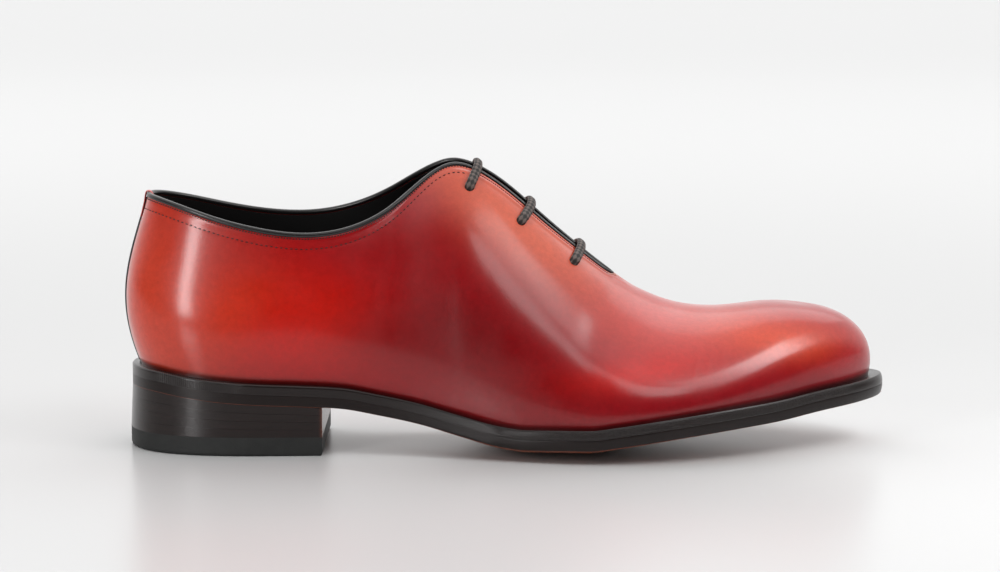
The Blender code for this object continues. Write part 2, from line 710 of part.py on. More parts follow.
def heel_edges(drop):
    """Plan edges of the heel at a share of the way down from the seat, flared back a little."""
    side = OUTER_SIDES[LATERAL]
    shares = sole_shares()
    shares = shares[shares <= float(side.share_at(HEEL_LENGTH)) + 1e-9]
    x, lateral, medial = plate_sides(None, shares)
    return x - HEEL_FLARE * drop * (1.0 - x / HEEL_LENGTH), lateral, medial


def build_heel(stack_finish, rubber_finish, parent):
    """The stacked leather lifts under the seat, each a little wedged, and the rubber top lift."""
    base = TOP_LIFT_THICKNESS + GAP

    def level(share, cut_back):
        return lambda x, y: base + (underside(x, 0.0 * y) - GAP - base) * share - cut_back

    for number in range(LIFT_COUNT):
        last = number == LIFT_COUNT - 1
        low = level(number / LIFT_COUNT, 0.0)
        high = level((number + 1) / LIFT_COUNT, 0.0 if last else GAP)
        edges = heel_edges(1.0 - (number + 0.5) / LIFT_COUNT)
        mesh = plate(f"heel_lift_{number + 1}", edges, low, high, HEEL_STEPS)
        add_object(f"heel_lift_{number + 1}", mesh, stack_finish, parent)
    edges = heel_edges(1.0)
    mesh = plate("top_lift", edges, level_at(0.0), level_at(TOP_LIFT_THICKNESS), HEEL_STEPS)
    return add_object("top_lift", mesh, rubber_finish, parent)


def build_upper(finish, parent):
    """The whole cut upper: one hollow wall, open along its collar, slit and seam."""
    places = stations()
    rises = np.linspace(0.0, 1.0, RISE_STEPS + 1)
    shape = bmesh.new()
    for side in SIDES:
        u = np.repeat(places[:, None], len(rises), axis=1)
        t = np.repeat(rises[None, :], len(places), axis=0)
        skin = UPPER.point(u, side, t)
        foot = skin[:, 0].copy()
        foot[:, 2] -= WELT_THICKNESS + GAP - FOOT_GAP
        lines = np.concatenate([foot[:, None], skin], axis=1)
        rows = [[shape.verts.new(Vector(point)) for point in line] for line in lines]
        for low, high in zip(rows, rows[1:]):
            join_rows(shape, low, high, side == MEDIAL)
    piece = add_object("upper", finished_mesh("upper", shape), finish, parent)
    wall = piece.modifiers.new("wall", "SOLIDIFY")
    wall.thickness = WALL
    wall.offset = -1.0
    for number, (at, side) in enumerate(eyelet_places()):
        bore = piece.modifiers.new(f"eyelet_{number + 1}", "BOOLEAN")
        bore.operation = "DIFFERENCE"
        bore.object = eyelet_cutter(number, at, side, parent)
    return piece


def eyelet_places():
    """Row and side of each lace hole, from the top row down."""
    return [(at, side) for at in LACE_ROWS for side in SIDES]


def eyelet_cutter(number, at, side, parent):
    """A hidden cylinder through the wall where a lace hole goes."""
    u, t = UPPER.square_to_edge(at, side, EYELET_INSET)
    centre = UPPER.point(u, side, t)
    normal = UPPER.normal(u, side, t)
    radius = EYELET_BORE / 2.0
    shape = bmesh.new()
    deep = WALL * CUTTER_DEPTH
    bmesh.ops.create_cone(shape, cap_ends=True, segments=CUTTER_SIDES, radius1=radius, radius2=radius, depth=deep)
    turn = Vector((0.0, 0.0, 1.0)).rotation_difference(Vector(normal)).to_matrix().to_4x4()
    bmesh.ops.transform(shape, matrix=Matrix.Translation(Vector(centre)) @ turn, verts=shape.verts)
    mesh = bpy.data.meshes.new(f"eyelet_cutter_{number + 1}")
    shape.to_mesh(mesh)
    shape.free()
    cutter = bpy.data.objects.new(mesh.name, mesh)
    bpy.context.scene.collection.objects.link(cutter)
    cutter.parent = parent
    cutter.hide_render = True
    cutter.display_type = "WIRE"
    return cutter


def edge_line(side):
    """The bead's centre line along one side's edge, from the heel to the slit's end."""
    places = stations()
    end = UPPER.share_of_edge(SLIT_END)
    tip = UPPER.share_of_edge(SLIT_END - SLIT_ROUND * BEAD_TURN / SOLE_LENGTH * 100)
    places = np.concatenate([places[places < tip - TIP_CLEARANCE], np.linspace(tip, end, TIP_POINTS)[:-1]])
    point, beyond, normal = UPPER.edge_frame(places, side)
    in_slit = smooth_step(THROAT_AT - 3.0, THROAT_AT, UPPER.columns["edge"](places))
    sink = WALL / 2.0 + (PIPING_SINK - WALL / 2.0) * in_slit
    centre = point + beyond * (PIPING_RADIUS + GAP) - normal * sink[:, None]
    middle = 0.5 * (UPPER.edge(places, LATERAL) + UPPER.edge(places, MEDIAL))[:, 1]
    clear = (centre[:, 1] - middle) * side > PIPING_RADIUS * BEAD_MEET
    clear[0] = True
    return centre[clear], normal[clear]


def build_piping(finish, parent):
    """The rolled bead round the collar and down both edges of the slit, one closed loop."""
    lateral, lateral_up = edge_line(LATERAL)
    medial, medial_up = edge_line(MEDIAL)
    tip = 0.5 * (lateral[-1] + medial[-1])
    ahead = unit(lateral[-1] - lateral[-2] + medial[-1] - medial[-2])
    tip = tip + ahead * abs(lateral[-1] - medial[-1])[1] * BEAD_TIP
    path = np.concatenate([lateral, [tip], medial[:0:-1]])
    ups = np.concatenate([lateral_up, [lateral_up[-1] + medial_up[-1]], medial_up[:0:-1]])
    ups[0] = lateral_up[0] + medial_up[0]
    mesh = swept("topline_piping", path, ups, round_profile(PIPING_RADIUS, ROUND_SIDES), True)
    return add_object("topline_piping", mesh, finish, parent)


def build_back_seam(finish, parent):
    """The narrow raised strip over the seam up the back of the heel."""
    rises = np.linspace(BACK_SEAM_ENDS, 1.0 - BACK_SEAM_ENDS, RISE_STEPS + 1)
    start = np.zeros_like(rises)
    point = UPPER.point(start, LATERAL, rises)
    normal = UPPER.normal(start, LATERAL, rises)
    normal[:, 1] = 0.0
    half = BACK_SEAM_WIDTH / 2.0
    crest = half * BACK_SEAM_CREST
    high = GAP + BACK_SEAM_RISE
    profile = np.array([[-half, GAP], [half, GAP], [crest, high], [-crest, high]])
    return add_object("back_seam", swept("back_seam", point, normal, profile, False), finish, parent)


def build_tongue(finish, parent):
    """The tongue under the slit, following the upper's inside below the laces."""
    along = np.linspace(TONGUE_TOP, TONGUE_END, TONGUE_ROWS)
    deep = WALL + LACE_DIAMETER + 2.0 * BENT_GAP
    shallow = WALL + 1.5 * GAP
    closing = (LACE_ROWS[-1] + TONGUE_CLOSING[0], TONGUE_END - TONGUE_CLOSING[1])
    layers = []
    for extra in (0.0, TONGUE_THICKNESS):
        rows = []
        for at in along:
            u = float(UPPER.share_of_edge(at))
            depth = deep + (shallow - deep) * smooth_step(*closing, at) + extra
            reach = TONGUE_REACH * (1.0 - TONGUE_NARROWING * smooth_step(LACE_ROWS[0], TONGUE_END, at))
            halves = {}
            for side in SIDES:
                line = np.linspace(1.0, 0.3, 15 * RISE_STEPS)
                points = UPPER.point(np.full_like(line, u), side, line)
                run = np.concatenate([[0.0], np.cumsum(np.linalg.norm(np.diff(points, axis=0), axis=1))])
                t = np.interp(np.linspace(0.0, reach, TONGUE_COLUMNS), run, line)
                halves[side] = UPPER.offset(np.full_like(t, u), side, t, np.full_like(t, depth))
            middle = 0.5 * (halves[LATERAL][0] + halves[MEDIAL][0])
            middle[2] += float(UPPER.half_gap(u)) * CROWN_RISE
            rows.append(np.concatenate([halves[LATERAL][:0:-1], [middle], halves[MEDIAL][1:]]))
        layers.append(np.array(rows))
    over, under = layers
    walls = [[over[:, 0], under[:, 0]], [over[:, -1], under[:, -1]], [over[0], under[0]], [over[-1], under[-1]]]
    return add_object("tongue", mesh_from_grids("tongue", [over, under] + walls), finish, parent)


def lace_point(at, side, inset, height):
    """A point of the lace: square down from the slit's edge by inset, over or under the surface."""
    u, t = UPPER.square_to_edge(at, side, inset)
    return UPPER.offset(u, side, t, -height)


def lace_route():
    """The lace's centre line: three bars over the slit, and the runs between them inside."""
    radius = LACE_DIAMETER / 2.0
    under = -(WALL + radius + BENT_GAP)
    top, middle, bottom = LACE_ROWS
    beside = EYELET_INSET - LACE_BYPASS
    outside = EYELET_INSET + LACE_BYPASS
    over = radius + GAP
    crest = over + PIPING_RADIUS - PIPING_SINK

    def bar(at, first):
        half = [(1.0, under * 0.75), (1.0, under * 0.25), (1.0, over * 0.45), (0.86, over * 1.15)]
        half += [(0.5, over + GAP), (0.1, crest)]
        rising = [lace_point(at, first, EYELET_INSET * share, height) for share, height in half]
        falling = [lace_point(at, -first, EYELET_INSET * share, height) for share, height in half]
        return rising + falling[::-1]

    def inside(side, inset, *rows):
        return [lace_point(at, side, inset, under) for at in rows]

    turn = LACE_DIAMETER * LACE_TURN / SOLE_LENGTH * 100
    bend = LACE_BEND
    gap = (bottom - middle) / 2.0
    route = inside(MEDIAL, beside, top + turn, top + 2.0 * bend, middle - 2.0 * turn)
    route += inside(MEDIAL, EYELET_INSET, middle - turn)
    route += bar(middle, MEDIAL)
    route += inside(LATERAL, EYELET_INSET, middle + turn, middle + gap, bottom - turn)
    route += bar(bottom, LATERAL)
    route += inside(MEDIAL, EYELET_INSET, bottom - turn)
    route += inside(MEDIAL, outside, middle + bend, middle - bend)
    route += inside(MEDIAL, EYELET_INSET, top + 2.0 * bend, top + turn)
    route += bar(top, MEDIAL)
    route += inside(LATERAL, EYELET_INSET, top + turn)
    route += inside(LATERAL, beside, top + 2.0 * bend, top + 3.0 * bend)
    return np.array(route)


def build_lace(finish, parent):
    """The round lace through all six holes, one continuous cord with its ends inside."""
    path = smooth_path(lace_route(), LACE_DIAMETER * 0.6)
    mesh = swept("lace", path, carried_ups(path), round_profile(LACE_DIAMETER / 2.0, LACE_SIDES), False)
    return add_object("lace", mesh, finish, parent)


def stand_over_origin(root):
    """Moves the shoe so that the middle of its box is over the origin and its lowest point at zero."""
    graph = bpy.context.evaluated_depsgraph_get()
    corners = []
    for piece in root.children:
        if not piece.hide_render:
            whole = piece.evaluated_get(graph)
            corners += [whole.matrix_world @ Vector(corner) for corner in whole.bound_box]
    corners = np.array([tuple(corner) for corner in corners])
    low = corners.min(axis=0)
    high = corners.max(axis=0)
    root.location = (-(low[0] + high[0]) / 2.0, -(low[1] + high[1]) / 2.0, -low[2])


def main():
    """Builds the shoe and stands it over the origin."""
    for old in list(bpy.data.objects):
        bpy.data.objects.remove(old, do_unlink=True)
    root = bpy.data.objects.new("shoe", None)
    bpy.context.scene.collection.objects.link(root)
    red_calf = material("patinated_calf", (0.62, 0.09, 0.06), 0.3, 0.4)
    black_calf = material("black_calf", (0.05, 0.045, 0.045), 0.4, 0.2)
    sole_leather = material("sole_leather", (0.45, 0.22, 0.14), 0.6)
    black_edge = material("blacked_edge", (0.07, 0.06, 0.055), 0.35)
    rubber = material("heel_rubber", (0.06, 0.06, 0.06), 0.6)
    sock = material("insole_leather", (0.12, 0.1, 0.09), 0.6)
    waxed_cord = material("waxed_cotton", (0.22, 0.19, 0.18), 0.7)
    build_outsole(sole_leather, root)
    build_welt(black_edge, root)
    build_insole(sock, root)
    build_heel(black_edge, rubber, root)
    build_upper(red_calf, root)
    build_piping(black_calf, root)
    build_back_seam(black_calf, root)
    build_tongue(black_calf, root)
    build_lace(waxed_cord, root)
    bpy.context.view_layer.update()
    stand_over_origin(root)


if __name__ == "__main__":
    main()
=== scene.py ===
"""The looks of a whole cut oxford for the right foot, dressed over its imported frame.

Lengths are metres in the row's frame: +X to the toe, +Y to the medial side, +Z up from the floor.
The last's own tables are in percent of the named sizes beside them, as the shoe's maker drafts them.
"""

import logging
import math
from collections.abc import Callable
from collections.abc import Sequence
from dataclasses import dataclass
from enum import Enum

import bmesh
import bpy
import numpy as np
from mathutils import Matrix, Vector


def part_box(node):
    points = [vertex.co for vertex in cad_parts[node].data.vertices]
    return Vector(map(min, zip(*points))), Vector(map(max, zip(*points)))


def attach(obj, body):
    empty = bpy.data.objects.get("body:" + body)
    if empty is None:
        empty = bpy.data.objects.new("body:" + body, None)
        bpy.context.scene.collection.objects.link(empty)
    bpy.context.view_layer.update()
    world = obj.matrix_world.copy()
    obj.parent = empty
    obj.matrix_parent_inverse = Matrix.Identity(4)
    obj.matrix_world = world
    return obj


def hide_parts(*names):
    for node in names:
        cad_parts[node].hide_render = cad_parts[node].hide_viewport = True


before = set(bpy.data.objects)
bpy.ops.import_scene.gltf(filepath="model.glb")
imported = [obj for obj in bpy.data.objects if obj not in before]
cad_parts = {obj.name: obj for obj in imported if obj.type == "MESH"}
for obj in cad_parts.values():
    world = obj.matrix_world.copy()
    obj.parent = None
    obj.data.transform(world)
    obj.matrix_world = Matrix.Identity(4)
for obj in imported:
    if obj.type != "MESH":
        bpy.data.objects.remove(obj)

log = logging.getLogger("oxford")
Array = np.ndarray
Piece = bpy.types.Object
Socket = bpy.types.NodeSocket
Steps = tuple[tuple[float, float], ...]
MM = 0.001


class Side(Enum):
    """The two sides of the foot, by the sign of their Y."""

    LATERAL = -1
    MEDIAL = 1


class Slot(Enum):
    """The material slots, one of which each finish names."""

    CALF = "patinated_calf"
    BLACK = "black_calf"
    SOLE = "sole_leather"
    EDGE = "blacked_edge"
    STACK = "heel_stack"
    RUBBER = "heel_rubber"
    SOCK = "insole_leather"
    CORD = "waxed_cotton"


@dataclass(frozen=True)
class Sizes:
    """The shoe's driving sizes, the same as its solids have."""

    length: float = 0.307
    ball: float = 0.108
    throat: float = 0.117
    collar: float = 0.054
    seat: float = 0.0252
    spring: float = 0.0198
    outsole: float = 0.0042
    welt: float = 0.0038
    insole: float = 0.0025
    wall: float = 0.002
    gap: float = 0.0003
    heel: float = 0.079
    heel_flare: float = 0.0008
    top_lift: float = 0.0076
    lifts: int = 4
    bead: float = 0.0011
    slit: float = 0.007
    slit_round: float = 0.005
    eyelet_inset: float = 0.0112
    lace: float = 0.0028


SIZES = Sizes()

# Bottom outline: at in percent of the sole's length, sides in percent of half the ball's width
OUTLINE = (
    (2.6, 39.8, 38.9),
    (9.7, 61.1, 60.2),
    (20.2, 63.9, 61.1),
    (32.6, 63.5, 49.6),
    (45.6, 79.6, 54.0),
    (58.0, 99.6, 79.6),
    (70.1, 100.0, 96.3),
    (81.5, 79.6, 85.0),
    (91.4, 49.1, 62.0),
    (97.6, 20.4, 37.0),
)
TOE_SWING = 9.3

# Underside of the outsole: at in percent of length, heel of the seat's height, toe of the toe spring,
# and the edge's lift over the centre in percent of the seat's height
PROFILE = (
    (0.0, 100.0, 0.0, 0.0),
    (3.0, 98.8, 0.0, 0.0),
    (7.2, 93.0, 0.0, 0.0),
    (12.4, 86.0, 0.0, 0.0),
    (17.6, 81.8, 0.0, 0.0),
    (22.9, 79.2, 0.0, 0.0),
    (28.0, 73.5, 0.0, 2.4),
    (33.2, 59.5, 0.0, 6.0),
    (38.4, 43.7, 0.0, 9.9),
    (43.6, 24.6, 0.0, 13.1),
    (48.9, 6.3, 0.0, 17.5),
    (52.5, 0.0, 0.0, 20.6),
    (60.1, 0.0, 0.0, 22.8),
    (64.2, 0.0, 9.0, 21.8),
    (69.3, 0.0, 21.7, 20.6),
    (74.6, 0.0, 34.8, 18.3),
    (79.8, 0.0, 46.5, 15.9),
    (85.0, 0.0, 58.6, 12.7),
    (90.5, 0.0, 74.7, 9.5),
    (96.4, 0.0, 90.4, 4.0),
    (100.0, 0.0, 100.0, 0.0),
)
FLAT_SHARE = 0.2

# Feather line inset from the outline, in percent of half the ball's width: at, lateral, medial
FEATHER = (
    (0.0, 6.5, 6.5),
    (8.0, 7.0, 7.0),
    (22.0, 7.4, 7.4),
    (35.0, 6.5, 4.6),
    (48.0, 7.6, 5.0),
    (62.0, 9.3, 8.4),
    (80.0, 9.6, 9.6),
    (92.0, 10.2, 10.2),
    (100.0, 11.0, 11.0),
)

# Sections of the upper, named as in SECTION_FIELDS: percent of the named sizes, and degrees
SECTION_FIELDS = (
    "at edge half top_lateral top_medial out_lateral up_lateral out_medial up_medial lean crown tilt"
)
SECTIONS = (
    (1.05, 2.3, 0.0, 86.2, 86.2, 16.5, 41.0, 16.5, 41.0, 74.0, 60.0, 0.0),
    (3.3, 3.8, 42.0, 85.6, 85.7, 13.0, 41.0, 13.0, 41.0, 75.0, 60.0, 0.0),
    (6.6, 6.9, 68.0, 83.4, 83.8, 9.0, 40.0, 9.0, 40.0, 76.0, 60.0, 0.0),
    (11.4, 11.5, 87.0, 79.7, 80.8, 7.0, 40.0, 8.0, 40.0, 77.0, 60.0, 0.0),
    (17.9, 17.9, 97.5, 75.8, 77.9, 7.0, 40.0, 9.0, 40.0, 77.0, 60.0, 0.0),
    (24.4, 24.4, 95.5, 74.3, 77.8, 7.5, 39.0, 12.0, 40.0, 76.0, 50.0, 2.0),
    (30.9, 30.9, 79.0, 77.6, 82.2, 8.0, 38.0, 15.0, 40.0, 70.0, 40.0, 4.0),
    (35.2, 35.2, 59.0, 83.8, 88.0, 8.0, 36.0, 16.0, 39.0, 60.0, 33.0, 6.0),
    (38.4, 38.4, 36.0, 90.9, 93.7, 8.0, 35.0, 16.0, 38.0, 45.0, 28.0, 7.0),
    (41.3, 41.3, 20.0, 96.2, 97.8, 8.0, 34.0, 16.0, 37.0, 30.0, 27.0, 8.0),
    (43.5, 43.5, 13.8, 97.1, 98.3, 8.0, 34.0, 15.0, 36.0, 20.0, 27.0, 8.0),
    (47.2, 47.5, 13.0, 92.6, 94.1, 8.0, 33.0, 14.0, 35.0, 14.0, 27.0, 8.0),
    (53.6, 54.1, 13.0, 78.7, 80.2, 8.0, 33.0, 12.0, 35.0, 12.0, 30.0, 8.0),
    (58.5, 59.0, 13.0, 68.2, 69.5, 8.0, 34.0, 11.0, 36.0, 12.0, 33.0, 7.0),
    (63.2, 63.5, 13.0, 59.4, 60.0, 9.0, 36.0, 10.0, 37.0, 10.0, 38.0, 5.0),
    (71.5, 71.1, 0.0, 49.5, 49.5, 10.0, 42.0, 10.0, 42.0, 0.0, 56.0, 2.0),
    (79.0, 77.8, 0.0, 47.4, 47.4, 12.0, 48.0, 11.0, 47.0, 0.0, 82.0, 0.0),
    (86.4, 83.5, 0.0, 48.8, 48.8, 13.0, 52.0, 12.0, 51.0, 0.0, 104.0, 0.0),
    (91.9, 86.9, 0.0, 48.7, 48.7, 14.0, 54.0, 13.5, 54.0, 0.0, 110.0, 0.0),
    (95.5, 88.3, 0.0, 48.3, 48.3, 14.0, 55.0, 14.0, 55.0, 0.0, 110.0, 0.0),
    (98.0, 88.4, 0.0, 48.3, 48.3, 14.0, 55.0, 14.0, 55.0, 0.0, 110.0, 0.0),
)
COLLAR_REACH = 0.6
CROWN_REACH_LIMIT = 0.7
OUTLINE_TURN = 0.015
THROAT_AT = 43.5
THROAT_BLEND = (42.5, 45.5)
CLOSING_FROM = 33.0
SLIT_END = 63.9
CREST_CLOSING = (50.0, 62.2)
RIDGE_SWING = 10.0
RIDGE_SPAN = (50.0, 92.0)
TOE_ROWS = 4
LACE_ROWS = (45.7, 52.6, 59.3)


class Spline:
    """A smooth curve through its knots, straight at its two ends."""

    def __init__(self, knots: Sequence[float], values: Sequence[float]) -> None:
        """Solves the curve's bends.

        Args:
            knots: Places of the given values, in rising order.
            values: The curve's value at each knot.
        """
        self.knots = np.asarray(knots, float)
        self.values = np.asarray(values, float)
        steps = np.diff(self.knots)
        count = len(self.knots)
        system = np.eye(count)
        sides = np.zeros(count)
        for i in range(1, count - 1):
            system[i, i - 1] = steps[i - 1]
            system[i, i] = 2.0 * (steps[i - 1] + steps[i])
            system[i, i + 1] = steps[i]
            slopes = np.diff(self.values[i - 1 : i + 2]) / steps[i - 1 : i + 1]
            sides[i] = 6.0 * (slopes[1] - slopes[0])
        self.bends = np.linalg.solve(system, sides)

    def __call__(self, at: Array) -> Array:
        """The curve's value at each place.

        Args:
            at: Places to read, held inside the knots.

        Returns:
            The values there.
        """
        at = np.clip(at, self.knots[0], self.knots[-1])
        low = np.clip(np.searchsorted(self.knots, at, side="right") - 1, 0, len(self.knots) - 2)
        step = self.knots[low + 1] - self.knots[low]
        far = (at - self.knots[low]) / step
        near = 1.0 - far
        straight = near * self.values[low] + far * self.values[low + 1]
        bend = (near**3 - near) * self.bends[low] + (far**3 - far) * self.bends[low + 1]
        return straight + bend * step**2 / 6.0


def steady(table: Sequence[Sequence[float]], column: int, at: Array) -> Array:
    """A curve through a table's column that never passes beyond its neighbours' values.

    Args:
        table: Rows whose first value is the place.
        column: The column to follow.
        at: Places to read.

    Returns:
        The column's value at each place.
    """
    knots = np.array([row[0] for row in table])
    values = np.array([row[column] for row in table])
    steps = np.diff(knots)
    rates = np.diff(values) / steps
    slopes = np.zeros(len(knots))
    for i in range(1, len(knots) - 1):
        if rates[i - 1] * rates[i] > 0.0:
            near = 2.0 * steps[i] + steps[i - 1]
            far = steps[i] + 2.0 * steps[i - 1]
            slopes[i] = (near + far) / (near / rates[i - 1] + far / rates[i])
    slopes[0] = rates[0]
    slopes[-1] = rates[-1]
    at = np.clip(at, knots[0], knots[-1])
    low = np.clip(np.searchsorted(knots, at, side="right") - 1, 0, len(knots) - 2)
    t = (at - knots[low]) / steps[low]
    return (
        (2 * t**3 - 3 * t**2 + 1) * values[low]
        + (t**3 - 2 * t**2 + t) * steps[low] * slopes[low]
        + (3 * t**2 - 2 * t**3) * values[low + 1]
        + (t**3 - t**2) * steps[low] * slopes[low + 1]
    )


def smooth_step(low: float, high: float, at: Array) -> Array:
    """From 0 at low to 1 at high, level at both ends."""
    t = np.clip((np.asarray(at, float) - low) / (high - low), 0.0, 1.0)
    return t * t * (3.0 - 2.0 * t)


def bump_at(middle: float, half: float, at: Array) -> Array:
    """A soft hump of height 1 at middle that ends at half on either side."""
    return 1.0 - smooth_step(0.0, half, np.abs(np.asarray(at, float) - middle))


def unit(vectors: Array) -> Array:
    """The same directions at length one."""
    return vectors / np.maximum(np.linalg.norm(vectors, axis=-1, keepdims=True), 1e-12)


def run_along(points: Array) -> Array:
    """The distance walked along a line at each of its points."""
    return np.concatenate([[0.0], np.cumsum(np.linalg.norm(np.diff(points, axis=0), axis=1))])


def smooth_path(points: Sequence[Sequence[float]], spacing: float) -> Array:
    """Points at this spacing on the smooth curve through the given ones.

    Args:
        points: Places to pass through.
        spacing: How far apart the points lie.

    Returns:
        Points along the curve.
    """
    points = np.asarray(points, float)
    run = run_along(points)
    at = np.linspace(0.0, run[-1], int(run[-1] / spacing) + 1)
    return np.stack([Spline(run, points[:, i])(at) for i in range(3)], axis=1)


class PlanSide:
    """One side of the closed bottom outline, from its rearmost to its foremost point."""

    def __init__(self, loop: Array, side: Side) -> None:
        """Cuts the loop at its two ends and keeps one side.

        Args:
            loop: Closed loop of plan points, heel first and then along the lateral side.
            side: The side to keep.
        """
        loop = np.roll(loop, -int(np.argmin(loop[:, 0])), axis=0)
        front = int(np.argmax(loop[:, 0]))
        normals = plan_normals(loop)
        if side is Side.LATERAL:
            self.points = loop[: front + 1]
            self.normals = normals[: front + 1]
        else:
            self.points = np.concatenate([loop[front:], loop[:1]])[::-1]
            self.normals = np.concatenate([normals[front:], normals[:1]])[::-1]
        run = run_along(self.points)
        self.shares = run / run[-1]

    def x_at(self, share: Array) -> Array:
        """The place along the shoe after this share of the side's length."""
        return np.interp(share, self.shares, self.points[:, 0])

    def share_at(self, x: Array) -> Array:
        """The share of the side's length at this place along the shoe."""
        return np.interp(x, self.points[:, 0], self.shares)

    def y_at(self, x: Array) -> Array:
        """The distance across the shoe at this place along it."""
        return np.interp(x, self.points[:, 0], self.points[:, 1])

    def normal_at(self, x: Array) -> Array:
        """The outward normal in plan at this place along the shoe."""
        knots = self.points[:, 0]
        return unit(np.stack([np.interp(x, knots, self.normals[:, i]) for i in range(2)], axis=-1))


def plan_normals(loop: Array) -> Array:
    """Unit normals of a closed plan loop that starts along the lateral side, away from its middle."""
    along = unit(np.roll(loop, -1, axis=0) - np.roll(loop, 1, axis=0))
    return np.stack([along[:, 1], -along[:, 0]], axis=1)


class Bottom:
    """The bottom of the shoe: its outline, its feather line and the heights of the sole."""

    STEPS = 1440

    def __init__(self, sizes: Sizes) -> None:
        """Draws the outline and the feather line.

        Args:
            sizes: The shoe's driving sizes.
        """
        self.sizes = sizes
        half = sizes.ball / 2.0
        lateral = [(at / 100 * sizes.length, -out / 100 * half) for at, out, _ in OUTLINE]
        medial = [(at / 100 * sizes.length, out / 100 * half) for at, _, out in OUTLINE]
        toe = [(sizes.length, TOE_SWING / 100 * half)]
        self.outer = self.closed_curve([(0.0, 0.0)] + lateral + toe + medial[::-1])
        self.outer_sides = {side: PlanSide(self.outer, side) for side in Side}
        feather = self.inset_loop(0.0)
        self.feather_sides = {side: PlanSide(feather, side) for side in Side}
        line = self.feather_sides[Side.LATERAL].points
        self.feather_back = float(line[0, 0])
        self.feather_front = float(line[-1, 0])

    def closed_curve(self, points: Sequence[Sequence[float]]) -> Array:
        """Evenly counted points on the smooth closed curve through the given points.

        Args:
            points: Plan places in order round the loop.

        Returns:
            The loop's points.
        """
        points = np.asarray(points, float)
        wrap = 4
        looped = np.concatenate([points[-wrap:], points, points[: wrap + 1]])
        run = run_along(looped)
        at = np.linspace(run[wrap], run[-wrap - 1], self.STEPS, endpoint=False)
        return np.stack([Spline(run, looped[:, i])(at) for i in range(2)], axis=1)

    def inset_loop(self, extra: float) -> Array:
        """The outline pulled in to the feather line, less or more by extra.

        Args:
            extra: How much further in the loop lies.

        Returns:
            A closed plan loop.
        """
        at = self.outer[:, 0] / self.sizes.length * 100
        share = np.where(self.outer[:, 1] < 0.0, steady(FEATHER, 1, at), steady(FEATHER, 2, at)) / 100
        inset = share * self.sizes.ball / 2.0 + extra
        return self.outer - plan_normals(self.outer) * inset[:, None]

    def underside(self, x: Array, y: Array) -> Array:
        """Height of the outsole's underside: the long profile, and the edges lifted over the middle.

        Args:
            x: Places along the shoe.
            y: Places across it.

        Returns:
            The heights.
        """
        at = np.clip(x / self.sizes.length * 100, 0.0, 100.0)
        heel = steady(PROFILE, 1, at) / 100 * self.sizes.seat
        toe = steady(PROFILE, 2, at) / 100 * self.sizes.spring
        lift = steady(PROFILE, 3, at) / 100 * self.sizes.seat
        low = self.outer_sides[Side.LATERAL].y_at(x)
        high = self.outer_sides[Side.MEDIAL].y_at(x)
        half = np.maximum((high - low) / 2.0, 1e-6)
        off = np.clip(np.abs(y - (low + high) / 2.0) / half, 0.0, 1.2)
        rise = np.maximum(off - FLAT_SHARE, 0.0) / (1.0 - FLAT_SHARE)
        return heel + toe + lift * rise**2

    def seam_height(self, x: Array, y: Array) -> Array:
        """Height of the welt's top face, where the upper comes out of the seam."""
        return self.underside(x, y) + self.sizes.outsole + self.sizes.gap + self.sizes.welt

    def middle(self, x: Array) -> Array:
        """The middle line of the sole in plan."""
        return (self.outer_sides[Side.LATERAL].y_at(x) + self.outer_sides[Side.MEDIAL].y_at(x)) / 2.0


